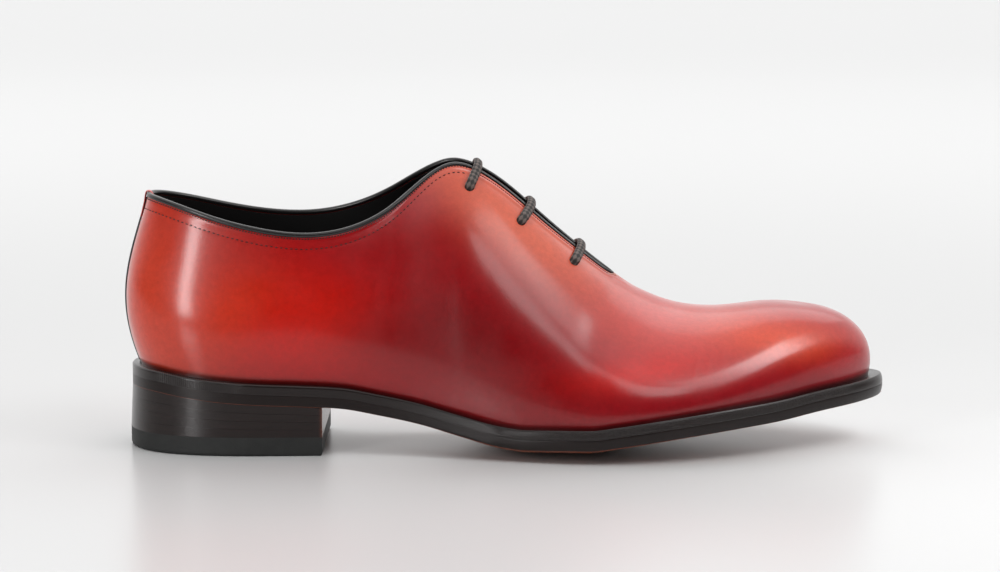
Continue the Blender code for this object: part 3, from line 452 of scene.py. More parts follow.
class Shell:
    """The upper's outer surface. u runs from heel to toe along a side and t from the seam to the edge."""

    def __init__(self, bottom: Bottom, sizes: Sizes) -> None:
        """Splines the sections' columns over the side's length, mirrored at heel and toe.

        Args:
            bottom: The bottom that the upper stands on.
            sizes: The shoe's driving sizes.
        """
        self.bottom = bottom
        self.sizes = sizes
        names = SECTION_FIELDS.split()
        first = SECTIONS[0][0]
        span = SECTIONS[-1][0] - first
        reach = bottom.feather_front - bottom.feather_back
        places = [bottom.feather_back + reach * (row[0] - first) / span for row in SECTIONS]
        self.shares = bottom.feather_sides[Side.LATERAL].share_at(np.array(places))
        self.shares[0] = 0.0
        self.shares[-1] = 1.0
        knots = np.concatenate([-self.shares[:0:-1], self.shares, 2.0 - self.shares[-2::-1]])
        self.columns = {}
        for number, name in enumerate(names[1:], start=1):
            values = np.array([row[number] for row in SECTIONS])
            turn = -1.0 if name == "half" else 1.0
            self.columns[name] = Spline(knots, np.concatenate([turn * values[:0:-1], values, values[-2::-1]]))
        self.slit_share = float(self.share_of_edge(SLIT_END))
        self.pole_share = float(self.shares[-TOE_ROWS])
        self.dense = np.linspace(0.0, 1.0, 1601)
        self.limits = {side: self.edge_limits(side) for side in Side}

    def edge_at(self, u: Array) -> Array:
        """The top edge's place in percent of the sole's length."""
        return self.columns["edge"](u)

    def share_of_edge(self, at: Array) -> Array:
        """The station whose top edge lies at this percent of the sole's length."""
        shares = np.linspace(0.0, 1.0, 4001)
        return np.interp(at, np.maximum.accumulate(self.edge_at(shares)), shares)

    def half_gap(self, u: Array) -> Array:
        """Half the opening across the foot: the collar, then the slit with its round end.

        Args:
            u: Stations along the side.

        Returns:
            Half the width at each station.
        """
        sizes = self.sizes
        collar = np.maximum(self.columns["half"](u) / 100 * sizes.collar / 2.0, 0.0)
        left = (SLIT_END - self.edge_at(u)) / 100 * sizes.length
        end = np.clip(1.0 - left / sizes.slit_round, 0.0, 1.0)
        closing = sizes.slit / 2.0 * np.sqrt(np.maximum(1.0 - end**2, 0.0))
        past_throat = smooth_step(*THROAT_BLEND, self.edge_at(u))
        half = (1.0 - past_throat) * collar + past_throat * closing
        return np.where(u >= self.slit_share - 1e-9, 0.0, half)

    def drawn_half(self, u: Array) -> Array:
        """Half the opening where the section lines end: the slit's lines meet well before its tip.

        Args:
            u: Stations along the side.

        Returns:
            Half the width at each station.
        """
        at = self.edge_at(u)
        collar = np.maximum(self.columns["half"](u) / 100 * self.sizes.collar / 2.0, 0.0)
        slit = self.sizes.slit / 2.0 * (1.0 - smooth_step(*CREST_CLOSING, at))
        past_throat = smooth_step(*THROAT_BLEND, at)
        return (1.0 - past_throat) * collar + past_throat * slit

    def middle_at(self, x: Array) -> Array:
        """The line over the foot that the slit and the ridge follow in plan."""
        swing = smooth_step(*RIDGE_SPAN, x / self.sizes.length * 100)
        return RIDGE_SWING / 100 * self.sizes.ball / 2.0 * swing

    def crest(self, u: Array, side: Side) -> Array:
        """Where the section lines end: along the collar, beside the slit, then on the vamp's ridge.

        Args:
            u: Stations along the side.
            side: The side of the foot.

        Returns:
            A point for each station.
        """
        u = np.asarray(u, float)
        x = self.edge_at(u) / 100 * self.sizes.length
        tops = {Side.LATERAL: self.columns["top_lateral"](u), Side.MEDIAL: self.columns["top_medial"](u)}
        z = tops[side] / 100 * self.sizes.throat
        ridge = 0.5 * (tops[Side.LATERAL] + tops[Side.MEDIAL]) / 100 * self.sizes.throat
        z = z + (ridge - z) * smooth_step(*CREST_CLOSING, self.edge_at(u))
        return np.stack([x, self.middle_at(x) + side.value * self.drawn_half(u), z], axis=-1)

    def edge_limits(self, side: Side) -> Array:
        """How far up each dense station's section line the cut edge of the leather lies.

        Args:
            side: The side of the foot.

        Returns:
            The edge's rise at each dense station.
        """
        rises = np.linspace(1.0, 0.7, 90)
        lines = self.curve(self.dense[:, None], side, rises[None, :])
        off = (lines[..., 1] - self.middle_at(lines[..., 0])) * side.value
        wanted = self.half_gap(self.dense)
        cut = (wanted > self.drawn_half(self.dense) + 1e-6) & (self.edge_at(self.dense) > THROAT_AT + 3.0)
        found = np.ones(len(self.dense))
        for i in np.flatnonzero(cut):
            found[i] = np.interp(wanted[i], off[i], rises)
        return found

    def edge(self, u: Array, side: Side) -> Array:
        """The leather's top edge: around the collar, down the slit, then the closed ridge of the vamp."""
        return self.point(u, side, np.ones_like(np.asarray(u, float)))

    def ridge_slope(self, u: Array) -> Array:
        """How steeply the top edge climbs towards the toe.

        Args:
            u: Stations along the side.

        Returns:
            The slope at each station.
        """
        step = 0.004
        low = np.clip(u - step, 0.0, self.pole_share)
        high = np.clip(u + step, low + step, 1.0)
        rise = self.crest(high, Side.LATERAL) - self.crest(low, Side.LATERAL)
        return rise[..., 2] / np.maximum(rise[..., 0], 1e-5)

    def handles(self, u: Array, side: Side) -> tuple[Array, Array, Array, Array]:
        """The four points that bend each section line.

        Args:
            u: Stations along the side.
            side: The side of the foot.

        Returns:
            The seam point, the low handle, the high handle and the edge point of each station.
        """
        u = np.asarray(u, float)
        line = self.bottom.feather_sides[side]
        x = self.bottom.feather_sides[Side.LATERAL].x_at(u)
        y = line.y_at(x)
        start = np.stack([x, y, self.bottom.seam_height(x, y)], axis=-1)
        normal = line.normal_at(x)
        end = self.crest(u, side)
        height = (end - start)[..., 2]
        name = side.name.lower()
        low = start.copy()
        low[..., :2] += normal * (self.columns["out_" + name](u) / 100 * height)[..., None]
        low[..., 2] += self.columns["up_" + name](u) / 100 * height
        across = unit((start - end)[..., :2] + normal * OUTLINE_TURN)
        crown = self.columns["crown"](u) / 100 * self.sizes.ball / 2.0
        closed = smooth_step(CLOSING_FROM, THROAT_AT, self.edge_at(u))
        tilt = np.arcsin(np.clip(self.drawn_half(u) / crown, 0.0, 0.9))
        tilt = tilt - side.value * np.radians(self.columns["tilt"](u))
        lean = (1.0 - closed) * np.radians(self.columns["lean"](u)) + closed * tilt
        aim = np.concatenate([across * np.cos(lean)[..., None], -np.sin(lean)[..., None]], axis=-1)
        aim[..., 2] += self.ridge_slope(u) * closed * aim[..., 0]
        aim = unit(aim)
        chord = low - end
        length = np.linalg.norm(chord, axis=-1)
        drop = np.linalg.norm(chord - np.sum(chord * aim, axis=-1)[..., None] * aim, axis=-1)
        limited = np.minimum(np.sqrt(drop * crown * 2.0 / 3.0), CROWN_REACH_LIMIT * length)
        reach = (1.0 - closed) * COLLAR_REACH * length + closed * limited
        return start, low, end + aim * reach[..., None], end

    def point(self, u: Array, side: Side, t: Array) -> Array:
        """Points on the outer surface, with t at 1 on the cut edge."""
        u = np.asarray(u, float)
        return self.curve(u, side, t * np.interp(u, self.dense, self.limits[side]))

    def curve(self, u: Array, side: Side, t: Array) -> Array:
        """Points on the section lines, up to the crest that they end on.

        Args:
            u: Stations along the side.
            side: The side of the foot.
            t: Rises from the seam to the edge.

        Returns:
            The points.
        """
        u, t = np.broadcast_arrays(np.asarray(u, float), np.asarray(t, float))
        start, low, high, end = self.handles(u, side)
        s = 1.0 - t[..., None]
        t = t[..., None]
        return s**3 * start + 3 * s**2 * t * low + 3 * s * t**2 * high + t**3 * end

    def normal(self, u: Array, side: Side, t: Array) -> Array:
        """Outward unit normals of the outer surface.

        Args:
            u: Stations along the side.
            side: The side of the foot.
            t: Rises from the seam to the edge.

        Returns:
            The normals.
        """
        step = 0.002
        u, t = np.broadcast_arrays(np.asarray(u, float), np.asarray(t, float))
        t = np.where(u > self.pole_share - 0.01, np.minimum(t, 0.97), t)
        low_u = np.clip(u - step, 0.0, 1.0 - 2 * step)
        low_t = np.clip(t - step, 0.0, 1.0 - 2 * step)
        along = self.point(low_u + 2 * step, side, t) - self.point(low_u, side, t)
        rising = self.point(u, side, low_t + 2 * step) - self.point(u, side, low_t)
        return unit(np.cross(along, rising)) * -side.value

    def lifted(self, u: Array, side: Side, t: Array, height: Array) -> Array:
        """Points at this height over the outer surface, or under it where height is negative."""
        return self.point(u, side, t) + self.normal(u, side, t) * np.asarray(height)[..., None]

    def rise_at(self, u: Array, side: Side, distance: Array) -> Array:
        """The t of each station at this distance down from the top edge, measured on the surface.

        Args:
            u: Stations along the side.
            side: The side of the foot.
            distance: How far down from the edge.

        Returns:
            The rises.
        """
        line = 1.0 - np.linspace(0.0, 1.0, 161) ** 1.3
        found = []
        for station, away in zip(np.atleast_1d(u), np.broadcast_to(distance, np.shape(np.atleast_1d(u)))):
            run = run_along(self.point(np.full_like(line, station), side, line))
            found.append(np.interp(away, run, line))
        return np.array(found)

    def edge_frame(self, u: Array, side: Side) -> tuple[Array, Array, Array]:
        """The top edge's point, the direction beyond it over the opening, and the outward normal.

        Args:
            u: Stations along the side.
            side: The side of the foot.

        Returns:
            The points, the directions beyond the edge and the normals.
        """
        u = np.asarray(u, float)
        step = 0.0015
        low = np.clip(u - step, 0.0, self.slit_share - 2 * step)
        along = unit(self.edge(low + 2 * step, side) - self.edge(low, side))
        normal = self.normal(u, side, np.ones_like(u))
        normal = unit(normal - np.sum(normal * along, axis=-1)[..., None] * along)
        return self.edge(u, side), np.cross(along, normal) * side.value, normal

    def square_to_edge(self, at: float, side: Side, distance: float) -> tuple[float, float]:
        """The station and rise reached by walking square to the slit, this far down from its edge.

        Args:
            at: Where the walk starts on the edge, in percent of the sole's length.
            side: The side of the foot.
            distance: How far to walk over the surface.

        Returns:
            The station u and the rise t of the place.
        """
        u = float(self.share_of_edge(at))
        slit = unit(self.edge(u + 0.01, side) - self.edge(u - 0.01, side))
        t = 1.0
        left = distance
        while left > 1e-7:
            step = min(left, 0.001)
            du = (self.point(u + 0.001, side, t) - self.point(u - 0.001, side, t)) / 0.002
            dt = (self.point(u, side, t) - self.point(u, side, t - 0.002)) / 0.002
            turn = -np.dot(dt, slit) / np.dot(du, slit)
            length = np.linalg.norm(turn * du + dt)
            u -= turn * step / length
            t -= step / length
            left -= step
        return u, t


def linear(code: str) -> tuple[float, float, float]:
    """A linear colour from an sRGB hex value such as "#a0301c"."""
    shares = [int(code[i : i + 2], 16) / 255 for i in (1, 3, 5)]
    return tuple(c / 12.92 if c <= 0.04045 else ((c + 0.055) / 1.055) ** 2.4 for c in shares)


def deselect() -> None:
    """Leaves nothing selected, in object mode."""
    if bpy.context.mode != "OBJECT":
        bpy.ops.object.mode_set(mode="OBJECT")
    bpy.ops.object.select_all(action="DESELECT")


def choose(piece: Piece) -> None:
    """Selects one piece alone and makes it the active one."""
    deselect()
    piece.select_set(True)
    bpy.context.view_layer.objects.active = piece


def weld(piece: Piece, distance: float = 2e-6, outward: bool = True) -> None:
    """Merges a piece's meeting vertices and turns its faces outwards.

    Args:
        piece: The mesh to close.
        distance: How far apart merged vertices may lie.
        outward: Whether the normals are worked out again too.
    """
    choose(piece)
    bpy.ops.object.mode_set(mode="EDIT")
    bpy.ops.mesh.select_all(action="SELECT")
    bpy.ops.mesh.remove_doubles(threshold=distance)
    bpy.ops.mesh.dissolve_degenerate(threshold=distance)
    if outward:
        bpy.ops.mesh.select_all(action="SELECT")
        bpy.ops.mesh.normals_make_consistent(inside=False)
    bpy.ops.object.mode_set(mode="OBJECT")


def sheet(name: str, points: Array) -> Piece:
    """Adds a grid primitive and shapes it by a table of points, with its UV map in metres.

    Args:
        name: The piece's name.
        points: Rows by columns of places, in the last's own frame.

    Returns:
        The shaped grid, which faces the way that columns crossed with rows point.
    """
    rows, columns = points.shape[:2]
    deselect()
    bpy.ops.mesh.primitive_grid_add(x_subdivisions=columns - 1, y_subdivisions=rows - 1, size=1.0)
    piece = bpy.context.object
    piece.name = name
    piece.data.name = name
    placed = points.reshape(-1, 3) + np.array(PLACE)
    piece.data.vertices.foreach_set("co", placed.astype(np.float32).ravel())
    across = np.mean([run_along(row) for row in points[:: max(1, rows // 8)]], axis=0)
    along = np.mean([run_along(points[:, i]) for i in range(0, columns, max(1, columns // 8))], axis=0)
    flat = np.stack(np.meshgrid(across, along), axis=-1).reshape(-1, 2)
    corners = np.zeros(len(piece.data.loops), np.int32)
    piece.data.loops.foreach_get("vertex_index", corners)
    layer = piece.data.uv_layers[0]
    layer.uv.foreach_set("vector", flat[corners].astype(np.float32).ravel())
    piece.data.update()
    return piece


def joined(name: str, pieces: Sequence[Piece]) -> Piece:
    """Joins pieces into the first of them, under a new name.

    Args:
        name: The new name.
        pieces: The pieces to join.

    Returns:
        The joined piece.
    """
    choose(pieces[0])
    for piece in pieces[1:]:
        piece.select_set(True)
    if len(pieces) > 1:
        bpy.ops.object.join()
    pieces[0].name = name
    pieces[0].data.name = name
    return pieces[0]


def smooth(piece: Piece, angle: float = 40.0) -> Piece:
    """Shades a piece smooth, with edges over this angle in degrees left sharp.

    Args:
        piece: The mesh to shade.
        angle: The steepest smooth edge.

    Returns:
        The piece.
    """
    choose(piece)
    bpy.ops.object.shade_smooth_by_angle(angle=math.radians(angle))
    return piece


def thicken(piece: Piece, thickness: float) -> None:
    """Gives an open sheet a wall on its inner side.

    Args:
        piece: The open sheet.
        thickness: The wall's thickness.
    """
    choose(piece)
    wall = piece.modifiers.new("wall", "SOLIDIFY")
    wall.thickness = thickness
    wall.offset = -1.0
    wall.use_even_offset = False
    bpy.ops.object.modifier_apply(modifier=wall.name)


def apply_weights(piece: Piece, name: str, values: Array) -> None:
    """Keeps one number for each vertex, which the material reads."""
    layer = piece.data.attributes.new(name, "FLOAT", "POINT")
    layer.data.foreach_set("value", np.asarray(values, np.float32))


def vertices_of(piece: Piece) -> Array:
    """The piece's vertices in the last's own frame.

    Args:
        piece: The mesh to read.

    Returns:
        One row for each vertex.
    """
    places = np.zeros(len(piece.data.vertices) * 3, np.float32)
    piece.data.vertices.foreach_get("co", places)
    return places.reshape(-1, 3).astype(float) - np.array(PLACE)


def swept(
    name: str,
    path: Array,
    ups: Array,
    profile: Callable[[Array, Array], Array],
    sides: int,
    closed: bool,
    strand: Callable[[Array, Array], Array] | None = None,
) -> Piece:
    """Carries a round profile along a path.

    Args:
        name: The piece's name.
        path: The centre line.
        ups: The direction of the profile's height at each point.
        profile: Gives across and up for each turn round the profile and each share of the path.
        sides: Points round the profile.
        closed: Whether the path meets itself.
        strand: Gives each place's share of a raised strand, which is kept for the material.

    Returns:
        The closed piece, with its ends rounded off where the path is open.
    """
    if closed:
        along = unit(np.roll(path, -1, axis=0) - np.roll(path, 1, axis=0))
    else:
        along = unit(np.gradient(path, axis=0))
    ups = unit(ups - np.sum(ups * along, axis=1)[:, None] * along)
    across = np.cross(along, ups)
    turns = np.linspace(0.0, 2.0 * math.pi, sides + 1)
    shares = np.linspace(0.0, 1.0, len(path))
    shape = profile(turns[None, :], shares[:, None])
    rings = path[:, None] + shape[..., :1] * across[:, None] + shape[..., 1:] * ups[:, None]
    if closed:
        rings = np.concatenate([rings, rings[:1]])
    else:
        radius = float(np.max(np.linalg.norm(shape[0], axis=-1)))
        caps = []
        for end, way in ((0, -1.0), (-1, 1.0)):
            turned = []
            for share in (0.35, 0.7, 0.92, 1.0):
                shrink = math.sqrt(max(1.0 - share**2, 0.0))
                centre = path[end] + along[end] * way * radius * share
                turned.append(centre + (rings[end] - path[end]) * shrink)
            caps.append(np.array(turned))
        rings = np.concatenate([caps[0][::-1], rings, caps[1]])
    piece = sheet(name, rings)
    if strand is not None:
        marks = strand(turns[None, :], shares[:, None])
        spare = (len(rings) - len(marks)) // 2
        apply_weights(piece, "strand", np.pad(marks, ((spare, spare), (0, 0)), mode="edge").ravel())
    weld(piece)
    return piece


def oval(half_width: float, half_height: float) -> Callable[[Array, Array], Array]:
    """A plain oval profile for a swept piece.

    Args:
        half_width: Half its width.
        half_height: Half its height.

    Returns:
        The profile for swept.
    """

    def profile(turns: Array, shares: Array) -> Array:
        """The oval at each turn and each share of the path."""
        turns, shares = np.broadcast_arrays(turns, shares)
        return np.stack([half_width * np.cos(turns), half_height * np.sin(turns)], axis=-1)

    return profile


def carried_ups(path: Array, first: Array, wanted: Array) -> Array:
    """Side directions along a path, which turn slowly towards a wanted one where the path crosses it.

    Args:
        path: The centre line.
        first: The direction to start from.
        wanted: The direction that the crossings settle to, either way round.

    Returns:
        A unit direction for each point of the path.
    """
    along = unit(np.gradient(path, axis=0))
    up = np.asarray(first, float)
    ups = []
    for direction in along:
        up = unit(up - np.dot(up, direction) * direction)
        pull = wanted - np.dot(wanted, direction) * direction
        pull = pull * np.linalg.norm(pull) * (1.0 if np.dot(pull, up) >= 0.0 else -1.0)
        up = unit(up + 0.12 * pull)
        ups.append(up)
    return np.array(ups)


def node(
    tree: bpy.types.NodeTree, kind: str, links: dict | None = None, **settings: object
) -> bpy.types.Node:
    """Adds a node with its settings, its numbers and its links.

    Args:
        tree: The material's or world's nodes.
        kind: Blender's name of the node.
        links: For each input, a number, a colour or the output that feeds it.
        settings: The node's own properties.

    Returns:
        The new node.
    """
    made = tree.nodes.new(kind)
    for name, value in settings.items():
        setattr(made, name, value)
    for name, value in (links or {}).items():
        if isinstance(value, bpy.types.NodeSocket):
            tree.links.new(value, made.inputs[name])
        else:
            made.inputs[name].default_value = value
    return made


def per(size_mm: float) -> float:
    """A texture's scale for cells of this size."""
    return 1.0 / (size_mm * MM)


class Bench:
    """Wires one material's nodes, so that each finish reads as its recipe."""

    def __init__(self, tree: bpy.types.NodeTree) -> None:
        """Starts from the object's own coordinates.

        Args:
            tree: The material's nodes.
        """
        self.tree = tree
        self.places = node(tree, "ShaderNodeTexCoord").outputs["Object"]

    def feed(self, shader: bpy.types.Node, name: str, value: Socket) -> None:
        """Leads a value into one of the shader's inputs."""
        self.tree.links.new(value, shader.inputs[name])

    def kept(self, name: str, output: str = "Fac") -> Socket:
        """What a piece keeps at its vertices under this name."""
        return node(self.tree, "ShaderNodeAttribute", attribute_name=name).outputs[output]

    def noise(self, scale: float, detail: float, roughness: float = 0.5, at: Socket | None = None) -> Socket:
        """Cloudy noise from 0 to 1, over the object's places unless others are given."""
        links = {"Scale": scale, "Detail": detail, "Roughness": roughness}
        links["Vector"] = self.places if at is None else at
        return node(self.tree, "ShaderNodeTexNoise", links).outputs["Fac"]

    def remap(self, value: Socket, span: Sequence[float], onto: Sequence[float], **settings: str) -> Socket:
        """The value stretched from one span onto another."""
        ends = {"Value": value, "From Min": span[0], "From Max": span[1]}
        ends |= {"To Min": onto[0], "To Max": onto[1]}
        return node(self.tree, "ShaderNodeMapRange", ends, **settings).outputs["Result"]

    def scaled(self, colour: Socket | Sequence[float], amount: Socket) -> Socket:
        """A colour made darker or lighter."""
        links = {0: colour, "Scale": amount}
        return node(self.tree, "ShaderNodeVectorMath", links, operation="SCALE").outputs["Vector"]

    def product(self, first: Socket, second: Socket) -> Socket:
        """Two values multiplied."""
        return node(self.tree, "ShaderNodeMath", {0: first, 1: second}, operation="MULTIPLY").outputs["Value"]

    def bump(self, height: Socket, strength: float, depth_mm: float, over: Socket | None = None) -> Socket:
        """The normal of a fine relief, over an earlier one where it is given.

        Args:
            height: The relief, from 0 to 1.
            strength: How much of it shows.
            depth_mm: How deep it is at full strength.
            over: The normal of an earlier relief.

        Returns:
            The normal.
        """
        links = {"Height": height, "Strength": strength, "Distance": depth_mm * MM}
        if over is not None:
            links["Normal"] = over
        return node(self.tree, "ShaderNodeBump", links).outputs["Normal"]


@dataclass(frozen=True)
class Finish:
    """A plain surface finish. Its kinds add their own pattern."""

    name: str
    slot: Slot
    colour: str
    roughness: float
    coat: float = 0.0
    coat_roughness: float = 0.1
    ior: float = 1.5

    def build(self) -> bpy.types.Material:
        """Makes the material, with its constants on the shader's own sockets.

        Returns:
            The material.
        """
        made = bpy.data.materials.new(self.name)
        made.use_nodes = True
        tree = made.node_tree
        shader = tree.nodes["Principled BSDF"]
        shader.inputs["Base Color"].default_value = (*linear(self.colour), 1.0)
        shader.inputs["Roughness"].default_value = self.roughness
        shader.inputs["IOR"].default_value = self.ior
        shader.inputs["Coat Weight"].default_value = self.coat
        shader.inputs["Coat Roughness"].default_value = self.coat_roughness
        self.pattern(tree, shader)
        return made

    def pattern(self, tree: bpy.types.NodeTree, shader: bpy.types.Node) -> None:
        """Adds nothing on a plain finish."""


@dataclass(frozen=True)
class PatinatedCalf(Finish):
    """Box calf, dyed by hand over orange crust and glazed: a clear gloss over fine pores."""

    pore_mm: float = 0.55
    grain_mm: float = 2.4
    cloud_mm: float = 11.111

    def pattern(self, tree: bpy.types.NodeTree, shader: bpy.types.Node) -> None:
        """The painted patina, the dye's fine mottling, pores and a slow unevenness of the glaze.

        Args:
            tree: The material's nodes.
            shader: The shader that the pattern feeds.
        """
        bench = Bench(tree)
        mottle = bench.noise(per(self.grain_mm), detail=6.0, roughness=0.7)
        spread = bench.remap(mottle, (0.1, 0.9), (0.78, 1.22))
        # The vertex patina: the dyes, with the painted shade of the crevice at the welt
        bench.feed(shader, "Base Color", bench.scaled(bench.kept("patina", "Color"), spread))
        slow = bench.noise(per(self.cloud_mm), detail=2.0)
        rough = bench.remap(slow, (0.3, 0.7), (self.roughness - 0.05, self.roughness + 0.06))
        bench.feed(shader, "Roughness", rough)
        pores = bench.bump(bench.noise(per(self.pore_mm), detail=2.0), strength=0.35, depth_mm=0.1)
        bench.feed(shader, "Normal", bench.bump(mottle, strength=0.14, depth_mm=0.25, over=pores))
        bench.feed(shader, "Coat Normal", bench.bump(mottle, strength=0.06, depth_mm=0.25))


@dataclass(frozen=True)
class GrainedLeather(Finish):
    """Dyed leather with fine grain: an even colour, a soft gloss and small pebbles."""

    grain_mm: float = 0.6
    cloud_mm: float = 6.25
    depth_mm: float = 0.05
    uneven: float = 0.15

    def pattern(self, tree: bpy.types.NodeTree, shader: bpy.types.Node) -> None:
        """Small cells for the grain and a slow change of shade.

        Args:
            tree: The material's nodes.
            shader: The shader that the pattern feeds.
        """
        bench = Bench(tree)
        slow = bench.noise(per(self.cloud_mm), detail=4.0)
        shift = bench.remap(slow, (0.3, 0.7), (1.0 - self.uneven, 1.0 + self.uneven))
        bench.feed(shader, "Base Color", bench.scaled(linear(self.colour), shift))
        links = {"Vector": bench.places, "Scale": per(self.grain_mm)}
        cells = node(tree, "ShaderNodeTexVoronoi", links, feature="SMOOTH_F1").outputs["Distance"]
        bench.feed(shader, "Normal", bench.bump(cells, strength=0.5, depth_mm=self.depth_mm))


@dataclass(frozen=True)
class InkedEdge(Finish):
    """Cut leather edge, blacked with ink and waxed: layered fibres under a dull shine."""

    layer_mm: float = 0.35
    fibre_mm: float = 16.6667
    speck_mm: float = 0.666667
    tick_mm: float = 0.8
    tick_turns: float = 0.314
    bottom: str = "#8a4a34"

    def pattern(self, tree: bpy.types.NodeTree, shader: bpy.types.Node) -> None:
        """Fibres along the edge, speckled wax, and bare leather where the attribute says so.

        Args:
            tree: The material's nodes.
            shader: The shader that the pattern feeds.
        """
        bench = Bench(tree)
        flattened = (per(self.fibre_mm), per(self.fibre_mm), per(self.layer_mm))
        flat = node(tree, "ShaderNodeMapping", {"Vector": bench.places, "Scale": flattened}).outputs["Vector"]
        layers = bench.noise(1.0, detail=4.0, roughness=0.6, at=flat)
        tint = bench.remap(layers, (0.25, 0.75), (0.6, 1.5))
        ink = bench.scaled(linear(self.colour), tint)
        hide = bench.scaled(linear(self.bottom), tint)
        mixed = node(tree, "ShaderNodeMix", {"Factor": bench.kept("bare"), 6: ink, 7: hide}, data_type="RGBA")
        bench.feed(shader, "Base Color", mixed.outputs[2])
        lines = bench.bump(layers, strength=0.35, depth_mm=0.12)
        speck = bench.noise(per(self.speck_mm), detail=3.0, roughness=0.7)
        speck = bench.product(speck, bench.kept("grainy"))
        specks = bench.bump(speck, strength=1.0, depth_mm=0.45, over=lines)
        turns = {"Scale": self.tick_turns * per(self.tick_mm), "Distortion": 0.6, "Detail": 0.0}
        wheel = node(tree, "ShaderNodeTexWave", {"Vector": bench.places} | turns).outputs["Fac"]
        ticked = bench.product(wheel, bench.kept("fudged"))
        bench.feed(shader, "Normal", bench.bump(ticked, strength=0.8, depth_mm=0.2, over=specks))


@dataclass(frozen=True)
class BraidedCord(Finish):
    """Waxed cotton, braided round: a dull cord whose raised strands are painted paler as a highlight, with
    painted shade in the gaps.
    """

    fibre_mm: float = 0.384615

    def pattern(self, tree: bpy.types.NodeTree, shader: bpy.types.Node) -> None:
        """The braid's raised strands are painted paler than the gaps: a painted highlight on each strand and
        painted shade between them, with fine fibres over both.

        Args:
            tree: The material's nodes.
            shader: The shader that the pattern feeds.
        """
        bench = Bench(tree)
        fibre = bench.noise(per(self.fibre_mm), detail=3.0, roughness=0.8)
        # Painted light: the strands lit pale and the gaps shaded dark
        painted_strand_light = bench.remap(bench.product(bench.kept("strand"), fibre), (0.05, 0.5), (0.3, 3.6))
        bench.feed(shader, "Base Color", bench.scaled(linear(self.colour), painted_strand_light))
        bench.feed(shader, "Normal", bench.bump(fibre, strength=0.6, depth_mm=0.12))


# The red upper: a deep dye under a clear glaze, which mirrors the softboxes with blurred edges
CALF = PatinatedCalf(
    "glazed_patina_calf", Slot.CALF, "#a81414", 0.36, coat=0.75, coat_roughness=0.17, ior=1.32
)
# The bead and the back strip: black with a thin grey line of light along them
BLACK_CALF = GrainedLeather("black_smooth_calf", Slot.BLACK, "#161313", 0.34, coat=0.3, coat_roughness=0.18)
# The inside and the tongue: the darkest part, with hardly any shine
LINING = GrainedLeather("black_lining_calf", Slot.BLACK, "#0f0d0d", 0.5, grain_mm=0.5)
# The sock: matte and a little lighter than the lining, so that the inside has a floor
SOCK = GrainedLeather("black_sock_leather", Slot.SOCK, "#171313", 0.6, grain_mm=0.7)
# The welt's edge: brown black with a waxy sheen, speckled along the forepart
EDGE = InkedEdge("inked_sole_edge", Slot.EDGE, "#170d0b", 0.32, coat=0.35, coat_roughness=0.2, ior=1.4)
# The outsole: the same ink on its edge, and red brown leather showing below it
SOLE = InkedEdge("oak_bark_sole", Slot.SOLE, "#170d0b", 0.34, coat=0.15, coat_roughness=0.22, ior=1.35)
# The heel's lifts: a burnished dark brown with fine level lines and a clear upright highlight
STACK = InkedEdge("burnished_stack", Slot.STACK, "#1a0f0d", 0.3, coat=0.4, coat_roughness=0.16, ior=1.35)
# The top lift: dull grey black, which sets it off from the lifts above
RUBBER = GrainedLeather(
    "top_lift_rubber", Slot.RUBBER, "#1b1c1b", 0.62, grain_mm=0.9, depth_mm=0.08, uneven=0.25
)
# The lace: dull grey brown, with a painted highlight on the braid's strands and painted shade in the gaps
CORD = BraidedCord("waxed_cotton_braid", Slot.CORD, "#362f2c", 0.66)
# The collar's and bead's stitches: small dark dashes in the red
THREAD = Finish("dark_linen_thread", Slot.BLACK, "#1d0f0e", 0.5)
# The row beside the slit: a darker red line that hardly parts from the leather
RED_THREAD = Finish("red_linen_thread", Slot.CALF, "#7c1a1c", 0.45)
# The thread round the slit's end: a small pale rim
PALE_THREAD = Finish("pale_linen_thread", Slot.CALF, "#e2b4a4", 0.45)
# The tab over the bead at the back: red calf, painted pale pink as the highlight that it catches, a fleck on
# the black
TAB_WITH_PAINTED_HIGHLIGHT = Finish("red_tab_painted_highlight", Slot.CALF, "#c8605c", 0.45)


class Wardrobe:
    """Builds each finish once and puts it on pieces."""

    def __init__(self) -> None:
        """Starts with nothing made."""
        self.made: dict[str, bpy.types.Material] = {}

    def dress(self, piece: Piece, finish: Finish, *replaced: str) -> Piece:
        """Gives a piece its finish and its body, and hides the CAD nodes that it stands for.

        Args:
            piece: The finished mesh.
            finish: What it is made of.
            replaced: CAD nodes that it stands for.

        Returns:
            The piece.
        """
        if finish.name not in self.made:
            self.made[finish.name] = finish.build()
        piece.data.materials.clear()
        piece.data.materials.append(self.made[finish.name])
        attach(piece, "root")
        if replaced:
            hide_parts(*replaced)
        log.info("%s: %d faces", piece.name, len(piece.data.polygons))
        return piece


@dataclass(frozen=True)
class Dye:
    """One hand brushed patch of the patina, in the last's own millimetres seen from the side."""

    colour: str
    at: tuple[float, float]
    reach: tuple[float, float]
    turn: float = 0.0
    strength: float = 1.0

    def cover(self, x: Array, z: Array) -> Array:
        """How much of the patch lies at each place, from 0 to its strength.

        Args:
            x: Places along the shoe.
            z: Their heights.

        Returns:
            The patch's cover there.
        """
        angle = math.radians(self.turn)
        dx = x / MM - self.at[0]
        dz = z / MM - self.at[1]
        along = (dx * math.cos(angle) + dz * math.sin(angle)) / self.reach[0]
        across = (dz * math.cos(angle) - dx * math.sin(angle)) / self.reach[1]
        return self.strength * np.exp(-(along**2 + across**2))


